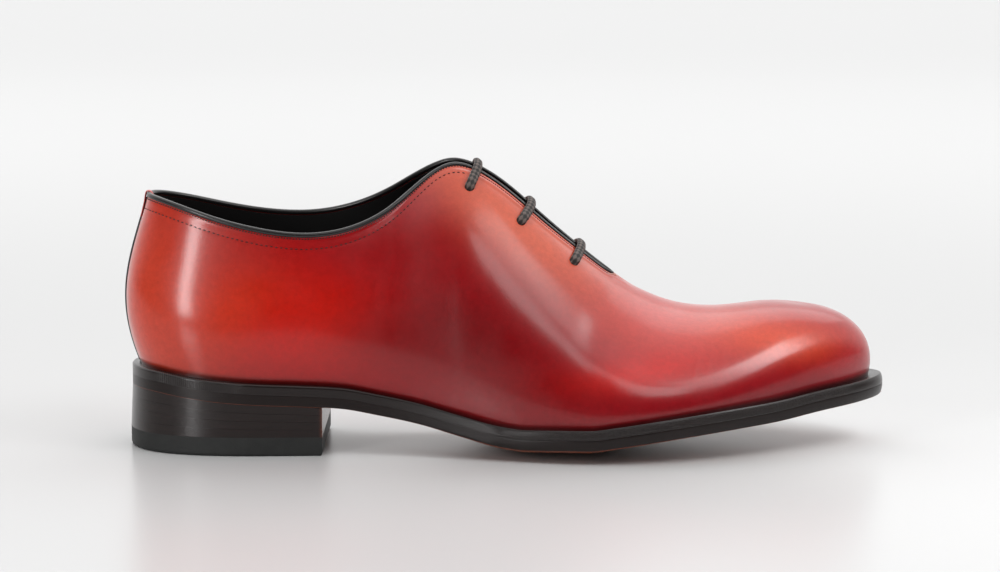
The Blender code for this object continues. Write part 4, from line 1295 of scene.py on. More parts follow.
@dataclass(frozen=True)
class Fold:
    """A soft ridge or trough in the leather, placed in the last's own millimetres from the side."""

    side: Side
    at: tuple[float, float]
    turn: float
    half_length: float
    half_width: float
    height: float

    def rise(self, x: Array, z: Array) -> Array:
        """How far the leather stands out at each place, in metres.

        Args:
            x: Places along the shoe.
            z: Their heights.

        Returns:
            The rise there.
        """
        angle = math.radians(self.turn)
        dx = x / MM - self.at[0]
        dz = z / MM - self.at[1]
        along = dx * math.cos(angle) + dz * math.sin(angle)
        across = dz * math.cos(angle) - dx * math.sin(angle)
        hump = bump_at(0.0, self.half_length, along) * bump_at(0.0, self.half_width, across)
        return self.height * MM * hump


# Creases across the vamp, and fine wrinkles at the ball
FOLDS = (
    Fold(Side.LATERAL, (190.0, 55.0), 62.0, 22.0, 9.0, -0.35),
    Fold(Side.LATERAL, (206.0, 50.0), 66.0, 20.0, 9.0, 0.3),
    Fold(Side.LATERAL, (221.0, 46.0), 72.0, 14.0, 7.0, -0.2),
    Fold(Side.MEDIAL, (192.0, 54.0), 62.0, 20.0, 9.0, -0.3),
    Fold(Side.MEDIAL, (208.0, 49.0), 66.0, 18.0, 9.0, 0.25),
    Fold(Side.LATERAL, (228.0, 38.0), 74.0, 7.0, 1.5, 0.06),
    Fold(Side.LATERAL, (231.0, 39.5), 80.0, 6.0, 1.3, -0.05),
    Fold(Side.LATERAL, (233.5, 40.0), 76.0, 7.0, 1.4, 0.06),
    Fold(Side.LATERAL, (236.5, 40.5), 84.0, 5.0, 1.3, -0.05),
    Fold(Side.LATERAL, (239.0, 41.0), 78.0, 6.0, 1.4, 0.05),
    Fold(Side.LATERAL, (242.5, 41.5), 82.0, 5.0, 1.4, -0.04),
)

# The hand brushed patina, each dye over the ones before it: bright at heel and toe, deep in between
PATINA_BASE = "#970a14"
PATINA = (
    Dye("#cc4028", (2.0, 55.0), (40.0, 75.0), 0.0, 1.0),
    Dye("#d83a0c", (44.0, 58.0), (22.0, 14.0), 20.0, 0.6),
    Dye("#cc1400", (76.0, 54.0), (34.0, 22.0), 0.0, 0.95),
    Dye("#8c0004", (112.0, 86.0), (34.0, 14.0), -8.0, 0.75),
    Dye("#800004", (112.0, 46.0), (30.0, 16.0), 0.0, 0.75),
    Dye("#740006", (142.0, 48.0), (38.0, 20.0), -28.0, 0.95),
    Dye("#7e0c12", (168.0, 62.0), (26.0, 16.0), -38.0, 0.6),
    Dye("#cc5434", (158.0, 92.0), (60.0, 13.0), -37.0, 1.0),
    Dye("#be3c38", (214.0, 52.0), (30.0, 14.0), -14.0, 0.75),
    Dye("#d0482a", (262.0, 46.0), (34.0, 8.0), -8.0, 0.9),
    Dye("#7e0006", (176.0, 29.0), (36.0, 11.0), 0.0, 0.85),
    Dye("#c41004", (206.0, 35.0), (26.0, 7.0), 6.0, 0.9),
    Dye("#840816", (250.0, 25.0), (60.0, 8.0), 4.0, 0.8),
    Dye("#a8242c", (294.0, 34.0), (12.0, 12.0), 0.0, 0.7),
)


@dataclass(frozen=True)
class Band:
    """A band along the top edge that stands out or dips, in millimetres from the edge."""

    at: float
    half_width: float
    height: float

    def rise(self, distance: Array) -> Array:
        """How far the leather stands out at each distance from the edge, in millimetres."""
        return self.height * bump_at(self.at, self.half_width, distance / MM)


ROLL = Band(0.7, 1.0, 0.12)
SLIT_SEAM = Band(1.7, 0.6, -0.16)
SLIT_PUFF = Band(3.2, 1.9, 0.32)
TOPSTITCH = Band(4.6, 0.9, -0.05)


@dataclass
class UpperDress:
    """The red upper, its lining and its holes."""

    shell: Shell
    sizes: Sizes
    wardrobe: Wardrobe
    stations: int = 250
    rises: int = 62
    leather: float = 0.0012
    lining: float = 0.0006
    lining_gap: float = 0.05
    hole: float = 0.0036
    wrinkled: tuple[float, float] = (70.0, 78.0)
    wrinkle_stations: int = 60
    # The band just over the welt that is darkened, in millimetres, and by how much: painted shade in the
    # crevice, together with the edge dressing's stain
    crevice_dressing_and_shade: tuple[float, float] = (0.4, 3.2)
    crevice_dressing_and_shade_depth: float = 0.85
    edge_steps: tuple[float, ...] = (0.0, 0.4, 0.8, 1.2, 1.6, 2.0, 2.4, 2.9, 3.5, 4.2, 4.8, 5.4, 6.2, 7.2)

    def places(self) -> Array:
        """Stations along a side, closer at the wrinkles and round the slit's tip.

        Returns:
            The stations in order.
        """
        even = np.linspace(0.0, 1.0, self.stations)
        wrinkled = np.linspace(*self.shell.share_of_edge(np.array(self.wrinkled)), self.wrinkle_stations)
        even = np.unique(np.concatenate([even, wrinkled]))
        tip = self.shell.share_of_edge(SLIT_END - np.linspace(0.0, 1.0, 9) ** 2 * 1.7)
        tip[0] = self.shell.slit_share
        kept = [u for u in even if np.min(np.abs(tip - u)) > 0.4 / self.stations]
        return np.array(sorted(kept + list(tip)))

    def relief(self, u: Array, distance: Array) -> Array:
        """How far the leather stands out: it rolls over the bead's cord and dips along each seam.

        Args:
            u: Stations along the side.
            distance: How far each place lies from the edge.

        Returns:
            The rise in metres.
        """
        at = self.shell.edge_at(u)
        slit = smooth_step(THROAT_AT - 1.5, THROAT_AT + 2.5, at)
        slit = slit * (1.0 - smooth_step(SLIT_END, SLIT_END + 3.0, at))
        open_edge = 1.0 - smooth_step(SLIT_END - 0.5, SLIT_END + 2.0, at)
        rolled = ROLL.rise(distance) * open_edge
        seam = SLIT_SEAM.rise(distance) * slit
        puff = SLIT_PUFF.rise(distance) * slit
        topstitch = TOPSTITCH.rise(distance) * (1.0 - slit) * open_edge
        return (rolled + seam + puff + topstitch) * MM

    def folded(self, side: Side, grid: Array) -> Array:
        """How far the listed folds lift each place of one side.

        Args:
            side: The side of the foot.
            grid: The side's places.

        Returns:
            The rise in metres.
        """
        total = np.zeros(grid.shape[:2])
        for fold in FOLDS:
            if fold.side is side:
                total += fold.rise(grid[..., 0], grid[..., 2])
        return total

    def skin(self, side: Side, height: float, low: float, relief: bool) -> Piece:
        """One side of a surface that follows the last.

        Args:
            side: The side of the foot.
            height: How far over the outer surface it lies.
            low: How far it runs below the seam.
            relief: Whether seams and rolls are raised on it.

        Returns:
            An open grid that faces outwards.
        """
        shell = self.shell
        places = self.places()
        line = 1.0 - np.linspace(0.0, 1.0, 161) ** 1.3
        walks = shell.point(places[:, None], side, line[None, :])
        near = np.array(self.edge_steps) * MM
        distance = []
        rises = []
        for walk in walks:
            run = run_along(walk)
            away = np.concatenate([near, np.linspace(near[-1], run[-1], self.rises)[1:]])
            distance.append(away)
            rises.append(np.interp(away, run, line))
        t = np.array(rises)
        u = np.repeat(places[:, None], t.shape[1], axis=1)
        raised = np.zeros_like(t)
        if relief:
            raised = self.relief(u, np.array(distance)) + self.folded(side, shell.point(u, side, t))
        grid = shell.lifted(u, side, t, height + raised)
        foot = grid[:, -1:].copy()
        foot[..., 2] -= low
        grid = np.concatenate([grid, foot], axis=1)
        if side is Side.MEDIAL:
            grid = grid[:, ::-1]
        return sheet(f"skin_{side.name.lower()}", grid)

    def build(self) -> None:
        """The red leather, cut for the laces and painted, and the black lining inside it."""
        sizes = self.sizes
        low = sizes.welt * 0.5
        upper = joined("upper_leather", [self.skin(side, 0.0, low, True) for side in Side])
        weld(upper, 4e-6, outward=False)
        thicken(upper, self.leather)
        self.cut_holes(upper)
        self.paint(upper)
        smooth(upper, 50.0)
        self.wardrobe.dress(upper, CALF, "upper")
        depth = self.leather + self.lining_gap * MM
        lining = joined("lining", [self.skin(side, -depth, low, False) for side in Side])
        weld(lining, 4e-6, outward=False)
        thicken(lining, self.lining)
        smooth(lining, 50.0)
        self.wardrobe.dress(lining, LINING)

    def cut_holes(self, upper: Piece) -> None:
        """Punches the six lace holes through the leather.

        Args:
            upper: The thickened leather.
        """
        cutters = []
        for at in LACE_ROWS:
            for side in Side:
                u, t = self.shell.square_to_edge(at, side, self.sizes.eyelet_inset)
                centre = self.shell.point(u, side, t) + np.array(PLACE)
                normal = Vector(self.shell.normal(u, side, t))
                turn = normal.to_track_quat("Z", "Y").to_euler()
                deselect()
                bpy.ops.mesh.primitive_cylinder_add(
                    vertices=24,
                    radius=self.hole / 2.0,
                    depth=self.leather * 4.0,
                    location=centre,
                    rotation=turn,
                )
                cutters.append(bpy.context.object)
        cutter = joined("lace_hole_punch", cutters)
        bore = upper.modifiers.new("lace_holes", "BOOLEAN")
        bore.operation = "DIFFERENCE"
        bore.object = cutter
        choose(upper)
        bpy.ops.object.modifier_apply(modifier=bore.name)
        bpy.data.objects.remove(cutter)

    def paint(self, upper: Piece) -> None:
        """Brushes the patina on, one dye over the other, and darkens the lowest few millimetres over the
        welt: painted shade in the crevice there, together with the edge dressing's stain.

        Args:
            upper: The cut leather.
        """
        places = vertices_of(upper)
        x = places[:, 0]
        z = places[:, 2]
        colour = np.tile(np.array(linear(PATINA_BASE)), (len(x), 1))
        for dye in PATINA:
            cover = dye.cover(x, z)[:, None]
            colour = colour * (1.0 - cover) + np.array(linear(dye.colour)) * cover
        # Painted shade in the crevice at the welt, with the edge dressing's stain: the leather darkened over
        # its lowest few millimetres
        rise = z - self.shell.bottom.seam_height(x, places[:, 1])
        low, high = self.crevice_dressing_and_shade
        crevice_dressing_and_shade = 1.0 - self.crevice_dressing_and_shade_depth * (1.0 - smooth_step(low * MM, high * MM, rise))
        colour = colour * crevice_dressing_and_shade[:, None]
        # The patina layer holds the dyes with the painted crevice shade multiplied in
        layer = upper.data.color_attributes.new("patina", "FLOAT_COLOR", "POINT")
        with_alpha = np.concatenate([colour, np.ones((len(x), 1))], axis=1)
        layer.data.foreach_set("color", with_alpha.astype(np.float32).ravel())


@dataclass(frozen=True)
class StitchRow:
    """A sewn row: how far it lies from the top edge, and its stitches, in millimetres."""

    name: str
    away: float
    pitch: float
    length: float
    thick: float
    finish: Finish


# The real rows are finer: at their own pitch the dashes would run together at the photo's size
COLLAR_ROW = StitchRow("collar_stitches", 4.6, 2.0, 1.0, 0.4, THREAD)
BEAD_ROW = StitchRow("bead_stitches", 0.55, 1.2, 0.75, 0.6, THREAD)
SLIT_ROW = StitchRow("slit_stitches", 1.7, 1.0, 0.75, 0.34, RED_THREAD)


@dataclass
class Trims:
    """What is sewn on the upper's edges: the bead, the stitches and the strip up the back."""

    shell: Shell
    sizes: Sizes
    wardrobe: Wardrobe
    strip: float = 0.0019
    strip_rise: float = 0.0007
    tab_wide: float = 0.0036
    collar_sink: float = 0.0004
    slit_sink: float = 0.0
    slit_slimmer: float = 0.33
    stitch_sides: int = 6
    stitch_lift: float = 0.3
    stitch_shape: Steps = ((-1.0, 0.35), (-0.8, 0.85), (0.0, 1.0), (0.8, 0.85), (1.0, 0.35))
    tab_rises: tuple[float, ...] = (0.90, 0.94, 0.975, 1.0)
    tab_lifts: Steps = ((0.45, 0.0), (0.6, 0.0), (0.75, 0.0), (0.9, 0.6))
    tab_over: Steps = ((0.3, 2.0), (-0.8, 2.4), (-1.9, 1.6), (-2.5, -0.4), (-2.6, -3.5))
    tab_thin: float = 0.32
    tip_steps: Steps = ((-1.1, 1.5), (-0.5, 1.45), (0.05, 1.2), (0.35, 0.7))
    tip_front: float = 0.5
    tip_lift: float = 0.08
    tip_thread: float = 0.17

    def bead_line(self, side: Side) -> tuple[Array, Array]:
        """The bead's centre line along one side's edge, and its outward normals.

        Args:
            side: The side of the foot.

        Returns:
            The line and its normals.
        """
        shell = self.shell
        end = shell.slit_share
        tip = float(shell.share_of_edge(SLIT_END - self.sizes.slit_round * 1.4 / self.sizes.length * 100))
        places = np.concatenate([np.linspace(0.0, tip, 420), np.linspace(tip, end, 12)[1:-1]])
        point, beyond, normal = shell.edge_frame(places, side)
        in_slit = smooth_step(THROAT_AT - 3.0, THROAT_AT, shell.edge_at(places))
        sink = self.collar_sink + (self.slit_sink - self.collar_sink) * in_slit
        centre = point + beyond * (self.sizes.bead - 0.1 * MM) - normal * sink[:, None]
        middle = 0.5 * (shell.edge(places, Side.LATERAL) + shell.edge(places, Side.MEDIAL))[:, 1]
        clear = (centre[:, 1] - middle) * side.value > self.sizes.bead * 0.9
        clear[0] = True
        return centre[clear], normal[clear]

    def build_bead(self) -> None:
        """The rolled black bead round the collar and down both edges of the slit."""
        lateral, lateral_up = self.bead_line(Side.LATERAL)
        medial, medial_up = self.bead_line(Side.MEDIAL)
        ahead = unit(lateral[-1] - lateral[-2] + medial[-1] - medial[-2])
        tip = 0.5 * (lateral[-1] + medial[-1]) + ahead * abs(lateral[-1] - medial[-1])[1] * 0.45
        path = np.concatenate([lateral, [tip], medial[:0:-1]])
        ups = np.concatenate([lateral_up, [lateral_up[-1] + medial_up[-1]], medial_up[:0:-1]])
        in_slit = smooth_step(THROAT_AT - 2.0, THROAT_AT + 4.0, path[:, 0] / self.sizes.length * 100)
        radius = self.sizes.bead * (1.0 - self.slit_slimmer * in_slit)

        def profile(turns: Array, shares: Array) -> Array:
            """The bead's round section, slimmer beside the slit."""
            thick = np.interp(shares, np.linspace(0.0, 1.0, len(path)), radius)
            return np.stack([thick * np.cos(turns), thick * np.sin(turns)], axis=-1)

        bead = swept("topline_bead", path, ups, profile, 18, True)
        self.wardrobe.dress(smooth(bead), BLACK_CALF, "topline_piping")

    def build_strip(self) -> None:
        """The narrow raised strip over the seam up the back of the heel."""
        rises = np.linspace(0.012, 0.985, 60)
        start = np.zeros_like(rises)
        normal = self.shell.normal(start, Side.LATERAL, rises)
        normal[:, 1] = 0.0
        path = self.shell.point(start, Side.LATERAL, rises) + unit(normal) * 0.1 * MM
        strip = swept("heel_seam_strip", path, normal, oval(self.strip / 2.0, self.strip_rise), 16, False)
        self.wardrobe.dress(smooth(strip), BLACK_CALF, "back_seam")

    def build_tab(self) -> None:
        """The small tab of red calf folded over the bead at the top of the heel."""
        rises = np.array(self.tab_rises)
        outside = self.shell.point(np.zeros_like(rises), Side.LATERAL, rises)
        back = unit(self.shell.normal(np.zeros(1), Side.LATERAL, np.ones(1))[0] * np.array([1.0, 0.0, 1.0]))
        up = np.array([0.0, 0.0, 1.0])
        path = [point + (back * out + up * high) * MM for point, (out, high) in zip(outside, self.tab_lifts)]
        for out, high in self.tab_over:
            path.append(outside[-1] + (back * out + up * high) * MM)
        path = smooth_path(path, 0.35 * MM)
        along = unit(np.gradient(path, axis=0))
        ups = np.cross(along, np.array([0.0, 1.0, 0.0]))
        tab = swept("heel_tab", path, ups, oval(self.tab_wide / 2.0, self.tab_thin * MM), 16, False)
        # The tab's pale pink is a painted highlight on red calf
        self.wardrobe.dress(smooth(tab), TAB_WITH_PAINTED_HIGHLIGHT)

    def stitches(self, row: StitchRow, side: Side, line: Array, normals: Array) -> None:
        """A row of stitches along a line, each a small rounded bead of thread.

        Args:
            row: The row's sizes and thread.
            side: The side of the foot.
            line: Points on the surface under the row.
            normals: Outward normals at those points.
        """
        run = run_along(line)
        pitch = row.pitch * MM
        half_length = row.length * MM / 2.0
        radius = row.thick * MM / 2.0
        shape = bmesh.new()

        def along_line(values: Array, at: float) -> Array:
            """The values at this distance along the row."""
            return np.array([np.interp(at, run, values[:, i]) for i in range(3)])

        for middle in np.arange(pitch, run[-1] - pitch, pitch):
            start, end = (along_line(line, middle + way * half_length) for way in (-1, 1))
            up = unit(along_line(normals, middle))
            along = unit(end - start)
            across = np.cross(along, up)
            centre = 0.5 * (start + end) + up * radius * self.stitch_lift + np.array(PLACE)
            rings = []
            for share, size in self.stitch_shape:
                ring = []
                for turn in range(self.stitch_sides):
                    angle = turn * 2.0 * math.pi / self.stitch_sides
                    out = across * math.cos(angle) + up * math.sin(angle)
                    place = centre + along * share * half_length + out * size * radius
                    ring.append(shape.verts.new(Vector(place)))
                rings.append(ring)
            for low, high in zip(rings, rings[1:]):
                for i in range(self.stitch_sides):
                    following = (i + 1) % self.stitch_sides
                    shape.faces.new([low[i], low[following], high[following], high[i]])
            shape.faces.new(rings[0][::-1])
            shape.faces.new(rings[-1])
        bmesh.ops.recalc_face_normals(shape, faces=shape.faces)
        name = f"{row.name}_{side.name.lower()}"
        mesh = bpy.data.meshes.new(name)
        shape.to_mesh(mesh)
        shape.free()
        piece = bpy.data.objects.new(name, mesh)
        bpy.context.scene.collection.objects.link(piece)
        self.wardrobe.dress(smooth(piece), row.finish)

    def row_line(self, side: Side, places: Array, away: float) -> tuple[Array, Array]:
        """A line on the surface at this distance from the top edge, with its normals."""
        t = self.shell.rise_at(places, side, away)
        return self.shell.point(places, side, t), self.shell.normal(places, side, t)

    def build_stitches(self) -> None:
        """The collar's top stitching, the bead's own seam and the fine row along the slit."""
        shell = self.shell
        throat = float(shell.share_of_edge(45.2))
        collar = np.linspace(0.004, throat, 160)
        slit = np.linspace(throat, float(shell.share_of_edge(SLIT_END - 0.4)), 90)
        for side in Side:
            for row, places in ((COLLAR_ROW, collar), (BEAD_ROW, collar), (SLIT_ROW, slit)):
                self.stitches(row, side, *self.row_line(side, places, row.away * MM))
        self.build_tip_stitch()

    def build_tip_stitch(self) -> None:
        """The pale thread that turns round the end of the slit."""
        shell = self.shell
        lift = np.full(1, self.tip_lift * MM)
        halves = {}
        for side in Side:
            points = []
            for ahead, away in self.tip_steps:
                u = np.array([float(shell.share_of_edge(SLIT_END + ahead))])
                points.append(shell.lifted(u, side, shell.rise_at(u, side, away * MM), lift)[0])
            halves[side] = points
        u = np.array([float(shell.share_of_edge(SLIT_END + self.tip_front))])
        front = shell.lifted(u, Side.LATERAL, np.ones(1), lift)[0]
        path = smooth_path(halves[Side.LATERAL] + [front] + halves[Side.MEDIAL][::-1], 0.2 * MM)
        ups = np.tile(np.array([0.3, 0.0, 1.0]), (len(path), 1))
        thread = swept("tip_stitch", path, ups, oval(self.tip_thread * MM, self.tip_thread * MM), 10, False)
        self.wardrobe.dress(smooth(thread), PALE_THREAD)

    def build(self) -> None:
        """Makes every trim."""
        self.build_bead()
        self.build_strip()
        self.build_tab()
        self.build_stitches()


@dataclass
class SoleUnit:
    """The outsole, the welt, the insole and the heel under them."""

    bottom: Bottom
    sizes: Sizes
    wardrobe: Wardrobe
    stations: int = 210
    notch: float = 0.148
    corner: float = 0.00015
    lift_corner: float = 0.00004
    beside_corner: float = 0.00012
    tread_corner: float = 0.0012
    fudged: tuple[float, ...] = (0.010, 0.016, 0.040, 0.052)
    grainy_end: tuple[float, float] = (0.285, 0.3)
    rings: tuple[float, ...] = (0.12, 0.25, 0.4, 0.55, 0.7, 0.85, 1.0)

    def loop(self, inset: float) -> Array:
        """A closed plan loop at this inset from the outline, lateral side first.

        Args:
            inset: How far in from the outline.

        Returns:
            The loop's points.
        """
        shares = 0.5 - 0.5 * np.cos(np.linspace(0.0, math.pi, self.stations))
        shares = 0.65 * np.linspace(0.0, 1.0, self.stations) + 0.35 * shares
        x = self.bottom.outer_sides[Side.LATERAL].x_at(shares)
        sides = []
        for side in Side:
            line = self.bottom.outer_sides[side]
            sides.append(np.stack([x, line.y_at(x)], axis=1) - line.normal_at(x) * inset)
        return np.concatenate([sides[0], sides[1][-2:0:-1]])

    def fore(self, x: Array) -> Array:
        """0 at heel and waist and 1 along the forepart, from the notch in the edge."""
        return smooth_step(self.notch - 1.5 * MM, self.notch + 2.5 * MM, x)

    def edge_inset(self, x: Array, height: Array) -> Array:
        """How far the trimmed edge falls back from the outline at this height over its underside.

        Args:
            x: Places along the shoe.
            height: Heights over the underside.

        Returns:
            The inset there.
        """
        full = self.sizes.outsole + self.sizes.gap + self.sizes.welt
        off = (height - full / 2.0) / (full / 2.0)
        round_edge = 1.5 * MM * (1.0 - np.sqrt(np.maximum(1.0 - (0.92 * off) ** 2, 0.0)))
        on_heel = 1.0 - smooth_step(self.sizes.heel - 1.0 * MM, self.sizes.heel + 2.0 * MM, x)
        tight = 0.45 * MM * smooth_step(0.86, 1.0, np.abs(off)) ** 2 * np.where(off < 0.0, 1.0 - on_heel, 1.0)
        fore = self.fore(x)
        groove = 0.08 * MM * bump_at(self.sizes.outsole + self.sizes.gap / 2.0, 0.5 * MM, height)
        return tight * (1.0 - fore) + (round_edge + groove) * fore

    def plate(self, name: str, low: float, high: float, inner: float | None) -> Piece:
        """A layer of the sole between two heights over the underside, with the trimmed edge.

        Args:
            name: The piece's name.
            low: Height of its lower face.
            high: Height of its upper face.
            inner: Inset of its inner edge where it is a ring, or None where it is whole.

        Returns:
            The closed piece.
        """
        base = self.loop(0.0)
        normals = unit(base - self.loop(1.0 * MM))
        columns = []

        def lay(plan: Array, height: float) -> None:
            """Adds one loop at this height over the underside."""
            rise = self.bottom.underside(plan[:, 0], plan[:, 1])
            columns.append(np.concatenate([plan, (rise + height)[:, None]], axis=1))

        corner = self.corner
        steps = np.linspace(low, high, 9)[1:-1]
        foot = [low, low + 0.3 * corner, low + corner]
        top = [high - corner, high - 0.3 * corner, high]
        heights = np.concatenate([foot, steps, top])
        turned_in = [corner, 0.25 * corner, 0.0]
        rounding = np.concatenate([turned_in, np.zeros(len(steps)), turned_in[::-1]])
        edge = []
        for height, extra in zip(heights, rounding):
            softened = extra * (0.2 + 0.3 * self.fore(base[:, 0]))
            inset = self.edge_inset(base[:, 0], np.full(len(base), height)) + softened
            edge.append(base - normals * inset[:, None])
        spine = np.stack([base[:, 0], self.bottom.middle(base[:, 0])], axis=1)
        if inner is None:
            for share in self.rings[::-1]:
                lay(edge[0] + (spine - edge[0]) * share, low)
        else:
            lay(self.loop(inner), low)
        for plan, height in zip(edge, heights):
            lay(plan, height)
        if inner is None:
            for share in self.rings:
                lay(edge[-1] + (spine - edge[-1]) * share, high)
        else:
            lay(self.loop(inner), high)
            columns.append(columns[0])
        grid = np.array(columns)
        grid = np.concatenate([grid, grid[:, :1]], axis=1)
        piece = sheet(name, grid)
        weld(piece)
        return piece

    def build(self) -> None:
        """Makes the layers under the foot."""
        sizes = self.sizes
        outsole = self.plate("outsole_leather", 0.0, sizes.outsole, None)
        places = vertices_of(outsole)
        over = places[:, 2] - self.bottom.underside(places[:, 0], places[:, 1])
        apply_weights(outsole, "bare", 1.0 - smooth_step(0.02 * MM, 0.12 * MM, over))
        apply_weights(outsole, "grainy", 0.15 + 0.0 * over)
        self.wardrobe.dress(smooth(outsole, 60.0), SOLE, "outsole")
        low = sizes.outsole + 0.02 * MM
        welt = self.plate("welt_strip", low, sizes.outsole + sizes.gap + sizes.welt, 7.0 * MM)
        places = vertices_of(welt)
        apply_weights(welt, "bare", 0.0 * places[:, 0])
        before_tip = 1.0 - smooth_step(*self.grainy_end, places[:, 0])
        apply_weights(welt, "grainy", 0.1 + 0.9 * self.fore(places[:, 0]) * before_tip)
        over = places[:, 2] - self.bottom.underside(places[:, 0], places[:, 1])
        along = smooth_step(*self.fudged[:2], places[:, 0])
        along = along * (1.0 - smooth_step(*self.fudged[2:], places[:, 0]))
        apply_weights(welt, "fudged", along * smooth_step(3.0 * MM, 5.0 * MM, over))
        self.wardrobe.dress(smooth(welt, 60.0), EDGE, "welt")
        self.build_insole()
        self.build_heel()

    def build_insole(self) -> None:
        """The sock on the insole, slightly dished across its width, deepest along its middle."""
        low = self.sizes.outsole + 2.0 * self.sizes.gap
        high = low + self.sizes.insole
        loop = self.bottom.inset_loop(self.sizes.wall + 0.2 * MM)
        keep = PlanSide(loop, Side.LATERAL)
        other = PlanSide(loop, Side.MEDIAL)
        x = keep.x_at(np.linspace(0.0, 1.0, 160))
        rows = []
        for share in np.linspace(0.0, 1.0, 25):
            y = keep.y_at(x) + (other.y_at(x) - keep.y_at(x)) * share
            dish = 0.5 * MM * math.sin(math.pi * share) ** 0.7
            rows.append(np.stack([x, y, self.bottom.underside(x, y) + high - dish], axis=1))
        top = np.array(rows)
        under = top.copy()
        under[..., 2] = self.bottom.underside(top[..., 0], top[..., 1]) + low
        grid = np.concatenate([top, under[::-1], top[:1]])
        piece = sheet("sock", grid)
        weld(piece)
        choose(piece)
        bpy.ops.object.mode_set(mode="EDIT")
        bpy.ops.mesh.select_all(action="DESELECT")
        bpy.ops.mesh.select_non_manifold()
        bpy.ops.mesh.edge_face_add()
        bpy.ops.mesh.select_all(action="SELECT")
        bpy.ops.mesh.normals_make_consistent(inside=False)
        bpy.ops.object.mode_set(mode="OBJECT")
        self.wardrobe.dress(smooth(piece, 50.0), SOCK, "insole")

    def heel_loop(self, drop: float) -> Array:
        """A closed plan loop of the heel at a share of the way down: round the back, then the breast.

        Args:
            drop: The share, with 1 on the floor.

        Returns:
            The loop's points.
        """
        side = self.bottom.outer_sides[Side.LATERAL]
        share = float(side.share_at(self.sizes.heel))
        x = side.x_at(share * np.linspace(0.0, 1.0, 90) ** 1.25)
        flared = x - self.sizes.heel_flare * drop * (1.0 - x / self.sizes.heel)
        lateral = np.stack([flared, side.y_at(x)], axis=1)
        medial = np.stack([flared, self.bottom.outer_sides[Side.MEDIAL].y_at(x)], axis=1)
        breast = np.linspace(lateral[-1], medial[-1], 40)[1:-1]
        return np.concatenate([lateral, breast, medial[:0:-1]])

    def heel_block(
        self, name: str, low: Callable, high: Callable, drops: tuple[float, float], foot: float
    ) -> Piece:
        """One layer of the heel: its rounded side walls and its two flat faces.

        Args:
            name: The piece's name.
            low: Height of its lower face over the plan.
            high: Height of its upper face over the plan.
            drops: Shares of the way down at its lower and upper face.
            foot: Radius of its lower corner.

        Returns:
            The closed piece.
        """
        columns = []
        corner = self.lift_corner
        beside = self.beside_corner
        centre = np.array([self.sizes.heel / 2.0, 0.0])
        steps = [(0.0, foot), (0.29 * foot, 0.29 * foot), (foot, 0.0), (foot + beside, 0.0)]
        below = [(rise, inset, 0) for rise, inset in steps]
        above = [(-beside, 0.0, 1), (0.0, 0.0, 1), (corner * 0.7, corner * 0.3, 1), (corner, corner, 1)]
        for rise, inset, level in below + above:
            loop = self.heel_loop(drops[level])
            loop = loop - unit(loop - centre) * inset
            base = low if level == 0 else high
            z = base(loop[:, 0], loop[:, 1]) + (rise if level == 0 else rise - corner)
            columns.append(np.concatenate([loop, z[:, None]], axis=1))
        for share in (0.15, 0.5, 1.0):
            for end, base in ((0, low), (-1, high)):
                ring = columns[end][:, :2]
                plan = ring + (centre - ring) * share
                made = np.concatenate([plan, base(plan[:, 0], plan[:, 1])[:, None]], axis=1)
                if end == 0:
                    columns.insert(0, made)
                else:
                    columns.append(made)
        grid = np.array(columns)
        grid = np.concatenate([grid, grid[:, :1]], axis=1)
        piece = sheet(name, grid)
        weld(piece)
        return piece

    def build_heel(self) -> None:
        """The stacked leather lifts and the rubber top lift."""
        sizes = self.sizes
        base = sizes.top_lift

        def level(share: float) -> Callable[[Array, Array], Array]:
            """The height of the joint at this share of the way up the stack."""
            return lambda x, y: base + (self.bottom.underside(x, 0.0 * y) - base) * share

        for number in range(sizes.lifts):
            low = number / sizes.lifts
            high = (number + 1) / sizes.lifts
            name = f"stack_lift_{number + 1}"
            lift = self.heel_block(name, level(low), level(high), (1.0 - low, 1.0 - high), self.lift_corner)
            places = vertices_of(lift)
            breast = smooth_step(sizes.heel - 0.6 * MM, sizes.heel - 0.2 * MM, places[:, 0])
            apply_weights(lift, "bare", 0.3 * breast)
            apply_weights(lift, "grainy", 0.1 + 0.0 * places[:, 0])
            self.wardrobe.dress(smooth(lift, 40.0), STACK, f"heel_lift_{number + 1}")

        def flat(height: float) -> Callable[[Array, Array], Array]:
            """A level face at this height."""
            return lambda x, y: 0.0 * x + height

        top = self.heel_block("rubber_top_lift", flat(0.0), flat(base), (1.0, 1.0), self.tread_corner)
        self.wardrobe.dress(smooth(top, 40.0), RUBBER, "top_lift")


